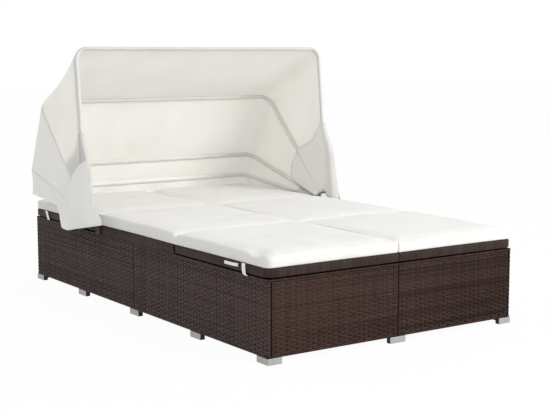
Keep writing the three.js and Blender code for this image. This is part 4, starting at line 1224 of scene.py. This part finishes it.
def ties():
    """The tapes seen under the left-hand cushion: two hang over the rail, one is tied in a flat knot."""
    face = -HALF_WIDTH - TAPE_OUT
    for name, (end_name, wide, width, places) in TAPES.items():
        places = [(face - out, y, z) for out, y, z in places]
        tape(name, places, wide, width, f"{end_name}_flap_left_body")


# The hood

def read_bow(name):
    """A bow's angle back from upright, reach from the pivot line and half width, from its solid: the means
    of its top bar's points, and the middle of its bushes."""
    points = coordinates(frame["nodes"][f"bow_{name}"].data)
    away = np.hypot(points[:, 1] - PIVOT_Y, points[:, 2] - PIVOT_Z)
    half_width = points[:, 0].max() - BOW_RADIUS
    bar = points[(away > BAR_AWAY) & (np.abs(points[:, 0]) < half_width - BOW_CORNER + BAR_MARGIN)]
    back, rise = bar[:, 1].mean() - PIVOT_Y, bar[:, 2].mean() - PIVOT_Z
    bushes = np.abs(points[away < BUSH_RADIUS + BOW_FOOT_MARGIN, 0])
    return {
        "name": name,
        "angle": math.atan2(back, rise),
        "reach": math.hypot(back, rise),
        "half_width": half_width,
        "foot_x": (bushes.max() + bushes.min()) / 2,
    }


bows = {name: read_bow(name) for name in ("front", "second", "third", "rear")}


def square_to(bow):
    """The direction square to a bow's plane."""
    return np.array([0, math.cos(bow["angle"]), -math.sin(bow["angle"])])


def between(first, second, share, sag):
    """The bow that the cloth would have a share of the way from one bow to the next, straight between the
    two top bars: r1 r2 sin(a2 - a1) / (r1 sin(a - a1) + r2 sin(a2 - a)), less sag x sin(pi x share)."""
    angle = first["angle"] + (second["angle"] - first["angle"]) * share
    whole = math.sin(second["angle"] - first["angle"])
    part = first["reach"] * np.sin(angle - first["angle"]) + second["reach"] * np.sin(second["angle"] - angle)
    reach = first["reach"] * second["reach"] * whole / part
    return {
        "angle": angle,
        "reach": reach - sag * np.sin(np.pi * share),
        "half_width": first["half_width"] + (second["half_width"] - first["half_width"]) * share,
        "foot_x": first["foot_x"] + (second["foot_x"] - first["foot_x"]) * share,
    }


def bow_places(bow, offset):
    """Where the cloth runs round a bow, in the bow's own plane: x and reach, station by station from
    the left foot over the top to the right foot. The bow's sizes are columns, one row a cloth row."""
    top = bow["reach"] + offset
    outer = bow["half_width"] + offset
    bend = BOW_CORNER + offset
    leg_end = top - bend
    climb = np.linspace(0, 1, LEG_STEPS + 1)
    reach = CLOTH_START + (leg_end - CLOTH_START) * climb
    settled = smoothstep(reach / CLOTH_SETTLE)
    foot_x = CLOTH_FOOT_X + (bow["foot_x"] + offset - CLOTH_FOOT_X) * settled
    leg_x = foot_x + (outer - foot_x) * reach / bow["reach"]
    turn = np.linspace(0, np.pi / 2, CORNER_STEPS + 1)[1:]
    corner_x = outer - bend + bend * np.cos(turn)
    corner_reach = leg_end + bend * np.sin(turn)
    across = np.linspace(-1, 1, TOP_STEPS + 1)[1:-1]
    top_x = (outer - bend) * across
    top_reach = top + 0 * across
    x = np.concatenate([-leg_x, -corner_x, top_x, corner_x[:, ::-1], leg_x[:, ::-1]], 1)
    reach = np.concatenate([reach, corner_reach, top_reach, corner_reach[:, ::-1], reach[:, ::-1]], 1)
    return x, reach


def cloth_rows(first, second, shares, offset, sag):
    """Points of the cloth between two bows, a row for every share: x, reach and angle."""
    share = np.asarray(shares, float)[:, None]
    bow = between(first, second, share, sag)
    x, reach = bow_places(bow, offset)
    angle = bow["angle"] + 0 * x
    return x, reach, angle


def from_bow(x, reach, angle):
    """Bow places turned into points: y = pivot + reach sin angle, z = pivot + reach cos angle."""
    return np.stack([x, PIVOT_Y + reach * np.sin(angle), PIVOT_Z + reach * np.cos(angle)], -1)


def gathers(x, reach, angle, share):
    """How far the cloth stands out of its plain shape, by sines that are 0 at both bows: pleats that fan
    out from the pivot and fade upwards, slack waves along the top, and drag lines from the corners."""
    low = np.exp(-reach / PLEAT_FADE)
    middle = np.sin(np.pi * share)
    pleats = PLEAT_DEPTH * low * np.sin(angle * PLEATS_PER_TURN + 3 * np.sin(x * 2)) * middle**0.5
    waves = WAVE_DEPTH * np.sin(x / WAVE_LENGTH + 4 * angle) * middle
    drag = DRAG_DEPTH * np.sin((np.abs(x) * 1.7 + reach) / DRAG_LENGTH + 5 * angle) * middle
    return pleats + waves * (1 - low) + drag * (1 - low)


def flared(points):
    """Lets the cloth stand out and forward over the pivots, more on the far side. It is the same field
    for every panel, so the panels keep their order."""
    x, y, z = points[..., 0], points[..., 1], points[..., 2]
    low = np.clip((FLARE_TOP - z) / FLARE_HEIGHT, 0, 1)
    near = np.exp(-(((y - FLARE_Y) / FLARE_SPREAD) ** 2))
    near = near * smoothstep((np.abs(x) - FLARE_FROM_X) / FLARE_FADE)
    out = np.where(x > 0, FLARE_OUT["right"], FLARE_OUT["left"]) * low * near
    ahead = np.where(x > 0, FLARE_AHEAD["right"], FLARE_AHEAD["left"]) * low**2 * near
    return points + np.stack([np.sign(x) * out, -ahead, 0 * out], -1)


def normals_of(points):
    """Unit normals of a grid of points, away from the middle of the hood."""
    down = np.gradient(points, axis=0)
    along = np.gradient(points, axis=1)
    normal = unit(np.cross(down, along))
    centre = np.array([0, PIVOT_Y + MIDDLE_BEHIND_PIVOT, PIVOT_Z])
    facing = np.sum(normal * (points - centre), -1).mean()
    return normal if facing > 0 else -normal


def cloth_body(points, thickness):
    """A thin closed cloth: the grid, the same grid moved in by the thickness, and a rim round both."""
    rows, columns = points.shape[:2]
    inner = points - normals_of(points) * thickness
    whole = np.concatenate([points.reshape(-1, 3), inner.reshape(-1, 3)])
    face = quad_grid(rows, columns)
    shift = rows * columns
    rim = rim_of(rows, columns)
    after = np.roll(rim, -1)
    sides = np.stack([after, rim, rim + shift, after + shift], -1)
    quads = np.concatenate([face, face[:, ::-1] + shift, sides])
    return outward(whole, quads)


def lengths_along(points, axis):
    """The length along a grid's lines up to every point: the running sum of its steps."""
    steps = np.linalg.norm(np.diff(points, axis=axis), axis=-1)
    return np.insert(np.cumsum(steps, axis), 0, 0, axis)


def keep_cloth(made, own, lined=None):
    """Keeps a cloth's own sizes as its attribute cloth_place, and how far it is lined as lined."""
    attribute = made.data.attributes.new("cloth_place", "FLOAT_VECTOR", "POINT")
    attribute.data.foreach_set("vector", own.astype(np.float32).ravel())
    if lined is not None:
        attribute = made.data.attributes.new("lined", "FLOAT", "POINT")
        attribute.data.foreach_set("value", lined.astype(np.float32))


def cloth_piece(name, points, thickness, material, lined=0.0):
    """A cloth object that keeps its own sizes, across and along, and its lining."""
    made = piece(name, [cloth_body(points, thickness)], [material])
    across, down = lengths_along(points, 1), lengths_along(points, 0)
    own = np.stack([across, down, 0 * down], -1).reshape(-1, 3)
    lining = np.broadcast_to(lined, points.shape[:2]).ravel()
    keep_cloth(made, np.concatenate([own, own]), np.concatenate([lining, lining]))
    return made


def panel_blend(made):
    """Bakes a panel's transform into its points."""
    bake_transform(made)


def sleeve(name, bow, body, half, depth, material, shade_mark=1.0):
    """The sewn tunnel that holds a bow: a flattened tube round the bar, wide along the cloth, whose
    section swells and shrinks by two sines of the length along it. Its tone is painted shade: from the plain
    colour near the pivot to a darker band higher up, weaker on the legs."""
    places = bow_places({key: np.array([[value]]) for key, value in bow.items()}, 0.0)
    x, reach = (place[0] for place in places)
    keep = reach > SLEEVE_START
    line = from_bow(x[keep], reach[keep], bow["angle"])
    along, points, tangents = evenly(line, SLEEVE_STATIONS)
    plane = square_to(bow)
    across = unit(np.cross(tangents, plane))
    angle = round_angles(SLEEVE_SIDES)
    (broad, broad_length), (fine, fine_length) = SLEEVE_CRUMPLES
    crumple = 1 + broad * np.sin(along / broad_length)[:, None] * np.sin(2 * angle)
    crumple = crumple + fine * np.sin(along / fine_length)[:, None]
    ring = np.stack([np.cos(angle) * depth, np.sin(angle) * half], -1) * crumple[..., None]
    out = np.hypot(points[:, 1] - PIVOT_Y, points[:, 2] - PIVOT_Z)
    # Painted shade: the tone darkens the tunnel up the bow, less on its legs
    over = smoothstep((bow["half_width"] - np.abs(points[:, 0])) / BOW_CORNER)
    tone = shade_mark * smoothstep((out - SHADE_BAND_START) / SHADE_BAND_FADE) * (LEG_SHADE + (1 - LEG_SHADE) * over)
    tube = (*swept(points, across, plane, ring), 0, np.repeat(tone, SLEEVE_SIDES))
    made = piece(name, [tube], [material])
    lengths = np.repeat(along, SLEEVE_SIDES)
    keep_cloth(made, np.stack([lengths, np.tile(angle * half, len(along)), 0 * lengths], -1))
    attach(made, body)
    return made


def side_lining():
    """1 along a cloth row's left leg, little along its right leg and 0 along its top, with the change
    over the corners."""
    corner = np.linspace(1, 0, CORNER_STEPS + 1)[1:]
    half = np.concatenate([np.ones(LEG_STEPS + 1), corner])
    return np.concatenate([half, np.zeros(TOP_STEPS - 1), half[::-1] * FAR_LINING])


def hood_panel(name, first, second, near, far, node, sag, lining, sleeves):
    """A panel between two bows, with its gathers."""
    shares = np.linspace(0, 1, PANEL_ROWS)
    x, reach, angle = cloth_rows(first, second, shares, BOW_RADIUS + CLOTH_GAP + CLOTH_THICKNESS, sag)
    points = from_bow(x, reach, angle)
    points = points + normals_of(points) * gathers(x, reach, angle, shares[:, None])[..., None]
    points = flared(points)
    made = cloth_piece(name, points, CLOTH_THICKNESS, hood_outer, lining)
    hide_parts(node)
    panel_blend(made)


def hem_drop(places, bow, offset):
    """How far the rear panel hangs below its last bow: a broad lobe behind the pivot on each side, kept
    long on the far side, and a valance along the back that rises to the near corner."""
    x, y, z = places.T
    lobe = np.maximum(z - np.interp(y, HEM_Y, HEM_Z), HEM_UNDER)
    lobe = np.where(x > 0, np.maximum(lobe, FAR_SKIRT_DROP), lobe)
    corner = smoothstep((y - PIVOT_Y - bow["reach"] + BOW_CORNER) / BOW_CORNER)
    is_top = np.abs(x) < bow["half_width"] + offset - BOW_CORNER
    inward = np.clip((x + bow["half_width"]) / VALANCE_REACH, 0, 1)
    valance = HEM_UNDER + (VALANCE_DROP - HEM_UNDER) * smoothstep(inward)
    return np.where(is_top, valance, lobe * (1 - corner) + valance * corner), corner, is_top


def apron(points, side_name):
    """The part of the rear panel in front of its legs, which hangs outside the pivot and the other
    panels: columns from a free front edge to the panel's own first column. The front edge is a smooth
    line through its places, and the top edge bulges up by the sine of its share."""
    side = SIDES[side_name]
    own = points[:, 0] if side < 0 else points[:, -1]
    _, front, _ = evenly(rounded_path(APRON_EDGE[side_name], [APRON_ROUND] * 4, steps=6), len(points))
    share = np.linspace(0, 1, APRON_COLUMNS)[:-1][None, :, None]
    columns = front[:, None] * (1 - share) + own[:, None] * share
    clear = 1 - share[..., 0] ** APRON_HOLD
    columns[..., 0] = own[:, None, 0] + (front[:, None, 0] - own[:, None, 0]) * clear
    columns[..., 0] += side * APRON_PROUD * np.sin(np.pi * share[..., 0])
    upper = (1 - np.linspace(0, 1, len(points))[:, None]) ** 2
    columns[..., 2] += APRON_BULGE * np.sin(np.pi * share[..., 0]) * upper
    return columns if side < 0 else columns[:, ::-1]


def rear_panel():
    """The last panel: from the third bow over the rear bow, then hanging as a skirt on the sides and a
    short valance behind the bed."""
    first, second = bows["third"], bows["rear"]
    offset = BOW_RADIUS + CLOTH_GAP + CLOTH_THICKNESS
    x, reach, angle = cloth_rows(first, second, np.linspace(0, 1, REAR_ROWS), offset, CLOTH_SAG["rear"])
    points = from_bow(x, reach, angle)
    last = points[-1]
    along = last[:, 1] - PIVOT_Y
    drop, corner, is_top = hem_drop(last, second, offset)
    hang = np.linspace(0, 1, SKIRT_ROWS)[1:, None]
    down = drop * hang
    full = np.clip(drop / SKIRT_FULL_DROP, 0, 1)
    folds = SKIRT_FOLD_DEPTH * np.sin(along / SKIRT_FOLD_LENGTH) * full * hang
    out = (SKIRT_FLARE * down / SKIRT_FULL_DROP + folds) * (1 - corner) * ~is_top
    ripple = VALANCE_RIPPLE * np.sin(last[:, 0] / VALANCE_RIPPLE_LENGTH) * hang * is_top
    hanging = last + np.stack([np.sign(last[:, 0]) * out, ripple, -down], -1)
    points = flared(np.concatenate([points, hanging]))
    skipped = int(np.sum(reach[-1, : LEG_STEPS + 1] < APRON_REACH))
    points = points[:, skipped:-skipped]
    left, right = apron(points, "left"), apron(points, "right")
    between_aprons = side_lining()[skipped:-skipped]
    lining = np.concatenate([np.ones(left.shape[1]), between_aprons, np.ones(right.shape[1])])
    points = np.concatenate([left, points, right], 1)
    made = cloth_piece("hood_rear_panel", points, CLOTH_THICKNESS, hood_outer, lining)
    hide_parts("canopy_rear_panel")
    panel_blend(made)


def pocket(name, first, second, near, far, last_share, wraps):
    """The inner cloth at each side that hides the bows' lower ends: fans of cloth just inside the legs,
    from near the pivot out to a curved edge. The first one also passes round the front bow's leg. The left
    ones, and the rows round the right front leg, take a darker colour as painted shade."""
    shares = np.linspace(0, last_share, POCKET_ROWS)
    extra = len(WRAP_STEPS)
    if wraps:
        shares = np.concatenate([np.zeros(extra), shares])
    step = np.zeros((len(shares), 1))
    aside = np.full((len(shares), 1), -POCKET_INSET)
    flare = np.zeros((len(shares), 1))
    start = np.full((len(shares), 1), POCKET_START)
    inner = np.ones((len(shares), 1))
    if wraps:
        start[1:extra] = WRAP_START
        inner[:extra, 0] = WRAP_INNER
        step[:extra, 0] = WRAP_STEPS
        aside[:extra, 0] = WRAP_ASIDE
        flare[:extra, 0] = WRAP_FLARE
    share = shares[:, None]
    angle = first["angle"] + (second["angle"] - first["angle"]) * share
    limit = np.interp(np.degrees(angle[:, 0]), POCKET_ANGLES, POCKET_REACHES)[:, None]
    reach = start + (limit - start) * np.linspace(0, 1, POCKET_COLUMNS)
    mixed = {
        key: first[key] + (second[key] - first[key]) * share
        for key in ("reach", "half_width", "foot_x")
    }
    leg_x = mixed["foot_x"] + (mixed["half_width"] - mixed["foot_x"]) * reach / mixed["reach"]
    # Painted shade: the left pocket takes the darker colour all over, the right one only round the front leg
    tones = [0 * reach, inner + 0 * reach]
    widened = step - POCKET_WIDENS * smoothstep((limit - reach) / POCKET_WIDEN_RUN) * (step < 0)
    ahead = np.stack([0 * angle, np.cos(angle), -np.sin(angle)], -1) * widened[..., None]
    bodies = []
    for side in SIDES.values():
        points = from_bow(side * (leg_x + aside), reach, angle + 0 * reach) + ahead
        points = points + (flared(points) - points) * flare[..., None]
        bodies.append(points)
    return cloth_pair(name, bodies, tones)


def cloth_pair(name, grids, tones):
    """Two like cloths, one at each side and with its own tones, as one piece between two bows."""
    cloths = [
        (*cloth_body(points, CLOTH_THICKNESS), 0, np.tile(tone.ravel(), 2))
        for points, tone in zip(grids, tones)
    ]
    made = piece(name, cloths, [pocket_cloth])
    own = np.concatenate([np.tile(points[..., 1:].reshape(-1, 2), (2, 1)) for points in grids])
    keep_cloth(made, np.hstack([own, 0 * own[:, :1]]), np.full(len(own), POCKET_LINING))
    panel_blend(made)
    return made


def pivot_cuff(side_name, side):
    """The soft cuff of cloth round the front of a pivot, over the bushes: an arc about the pivot line
    whose radius swells by the sine of the share across it, with small gathers along the arc."""
    angle = np.radians(np.linspace(*CUFF_ANGLES, CUFF_ROWS))[:, None]
    share = np.linspace(0, 1, CUFF_COLUMNS)[None]
    x = side * (CUFF_FROM + (CUFF_TO - CUFF_FROM) * share) + 0 * angle
    gathered = CUFF_GATHER * np.sin(angle * CUFF_GATHERS_PER_TURN + 3 * share)
    radius = CUFF_RADIUS + CUFF_SWELL * np.sin(np.pi * share) + gathered
    points = from_bow(x, radius, angle + 0 * share)
    made = cloth_piece(f"hood_pivot_cuff_{side_name}", points, CLOTH_THICKNESS, cuff_cloth, 1.0)
    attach(made, "bed")


def bow_tube(name, bow, body):
    """A bent tube with its two bushes: round sections carried along legs, corners and top bar."""
    start = BUSH_RADIUS - BOW_RADIUS / 2
    half, reach = bow["half_width"], bow["reach"]
    start_x = bow["foot_x"] + (half - bow["foot_x"]) * start / reach
    flat = [(-start_x, start), (-half, reach), (half, reach), (start_x, start)]
    line = rounded_path(flat, [BOW_CORNER, BOW_CORNER], steps=TUBE_CORNER_STEPS)
    line = from_bow(line[:, 0], line[:, 1], bow["angle"])
    plane = square_to(bow)
    tangents = unit(np.gradient(line, axis=0))
    across = unit(np.cross(tangents, plane))
    angle = round_angles(TUBE_SIDES)
    circle = np.stack([np.cos(angle), np.sin(angle)], -1)
    bodies = [swept(line, across, plane, circle * BOW_RADIUS)]
    bodies += [bush(side * bow["foot_x"], circle) for side in SIDES.values()]
    made = piece(f"hood_tube_{name}", bodies, [bow_metal])
    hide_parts(f"bow_{name}")
    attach(made, body)


def bush(x, circle):
    """A short ring on the pivot: rings of a tube's outside and inside, closed on themselves."""
    half, sides = BUSH_HALF, len(circle)
    stations = [(-half, BUSH_BORE), (-half, BUSH_RADIUS), (half, BUSH_RADIUS), (half, BUSH_BORE)]
    rings = []
    for shift, radius in stations:
        y, z = PIVOT_Y + radius * circle[:, 0], PIVOT_Z + radius * circle[:, 1]
        rings.append(np.stack([np.full(sides, x + shift), y, z], -1))
    return outward(np.array(rings), quad_grid(4, sides, wrap_rows=True, wrap_columns=True))


def hood():
    """Four tubes, three cloth panels, a sewn tunnel round every bow and the pockets over their ends."""
    bodies = {name: f"{name}_bow_body" for name in ("front", "second", "third")}
    bodies["rear"] = "bed"
    for name, bow in bows.items():
        bow_tube(name, bow, bodies[name])
    first_pair = bows["front"], bows["second"], bodies["front"], bodies["second"]
    second_pair = bows["second"], bows["third"], bodies["second"], bodies["third"]
    hem = sleeve("hood_front_hem", bows["front"], bodies["front"], HEM_HALF, HEM_DEPTH, hood_hem_painted_shade)
    tunnels = {}
    # The rear tunnel gets no painted shade
    for name, shade_mark in (("second", 1.0), ("third", 1.0), ("rear", 0.0)):
        sizes = BAND_HALF, BAND_DEPTH, hood_band_painted_shade, shade_mark
        tunnels[name] = sleeve(f"hood_tunnel_{name}", bows[name], bodies[name], *sizes)
    front_pocket = pocket("hood_pocket_front", *first_pair, POCKET_LAST_SHARE["front"], True)
    middle_pocket = pocket("hood_pocket_middle", *second_pair, POCKET_LAST_SHARE["middle"], False)
    front_sleeves = [hem, tunnels["second"], front_pocket]
    hood_panel("hood_front_panel", *first_pair, "canopy_front_panel", CLOTH_SAG["front"], 0.0, front_sleeves)
    middle_sleeves = [tunnels["third"], middle_pocket]
    middle_cloth = CLOTH_SAG["middle"], side_lining(), middle_sleeves
    hood_panel("hood_middle_panel", *second_pair, "canopy_middle_panel", *middle_cloth)
    rear_panel()
    for side_name, side in SIDES.items():
        pivot_cuff(side_name, side)


# What the frame already holds: only its finish is set

def dress_frame():
    """Gives every solid that stays its own finish."""
    finishes = {
        "deck_weave": deck_top_weave, "frame_steel": frame_paint, "zinc_steel": zinc_plate,
        "bow_tube": bow_metal, "leg": foot_metal, "weave": side_strand,
        "cushion_cover": cover, "canopy_cloth": hood_outer,
    }
    slots = {row["node"]: row["material_slot"] for row in frame["record"]["subparts"]}
    for name, node in frame["nodes"].items():
        node.data.materials.clear()
        node.data.materials.append(finishes[slots[name]])


def light_path_white(tree):
    """1 where the camera, a gloss or a clear surface sees it, and 0 elsewhere."""
    rays = add(tree, "ShaderNodeLightPath").outputs
    seen = arithmetic(tree, "MAXIMUM", rays["Is Camera Ray"], rays["Is Glossy Ray"])
    return arithmetic(tree, "MAXIMUM", seen, rays["Is Transmission Ray"])


def studio():
    """A pale floor that keeps the shadow, a white surround, one soft lamp from the front right."""
    low, high = (-FLOOR_REACH, -FLOOR_REACH, -FLOOR_THICKNESS), (FLOOR_REACH, FLOOR_REACH, 0)
    floor = piece("floor", [slab(low, high)], [])
    material, tree, shader = finish_of("floor", 0.9)
    grain = noise(tree, place_on(tree), 3, 3)
    linked(tree, ramp(tree, grain, zip((0.3, 0.7), FLOOR)), shader, "Base Color")
    white = add(tree, "ShaderNodeEmission", {"Color": (1, 1, 1, 1), "Strength": 1.0})
    share = arithmetic(tree, "MULTIPLY", light_path_white(tree), FLOOR_WHITE)
    mixed_in(tree, shader, white.outputs["Emission"], share)
    floor.data.materials.append(material)
    world = bpy.data.worlds.new("studio")
    world.use_nodes = True
    bpy.context.scene.world = world
    tree = world.node_tree
    surround = tree.nodes["Background"]
    strength = light_path_white(tree)
    lift = arithmetic(tree, "MULTIPLY_ADD", strength, 1 - AMBIENT)
    lift.node.inputs[2].default_value = AMBIENT
    surround.inputs["Color"].default_value = (1, 1, 1, 1)
    tree.links.new(lift, surround.inputs["Strength"])
    lamp = bpy.data.lights.new("key", "AREA")
    lamp.shape = "DISK"
    lamp.size = KEY_SIZE
    lamp.energy = KEY_POWER
    key = bpy.data.objects.new("key", lamp)
    key.location = KEY_PLACE
    key.rotation_mode = "QUATERNION"
    key.rotation_quaternion = (Vector(KEY_PLACE) - Vector(KEY_TARGET)).to_track_quat("Z", "Y")
    bpy.context.scene.collection.objects.link(key)


def camera():
    """The camera of the photograph: its place, its direction and its lens."""
    data = bpy.data.cameras.new("camera")
    data.lens = CAMERA_LENS
    data.sensor_width = SENSOR_WIDTH
    made = bpy.data.objects.new("camera", data)
    made.location = CAMERA_PLACE
    level = math.cos(CAMERA_ELEVATION)
    x, y = math.sin(CAMERA_AZIMUTH) * level, -math.cos(CAMERA_AZIMUTH) * level
    back = Vector((x, y, math.sin(CAMERA_ELEVATION)))
    made.rotation_mode = "QUATERNION"
    made.rotation_quaternion = (-back).to_track_quat("-Z", "Y")
    bpy.context.scene.collection.objects.link(made)
    bpy.context.scene.camera = made


camera()
dress_frame()
for side_name, side in SIDES.items():
    for end_name, end in ENDS.items():
        side_panel(side_name, side, end_name, end)
        end_panel(side_name, side, end_name, end)
    rail_wraps(side_name, side)
feet()
cushions()
ties()
hood()
studio()
bpy.context.scene.view_settings.view_transform = "Standard"
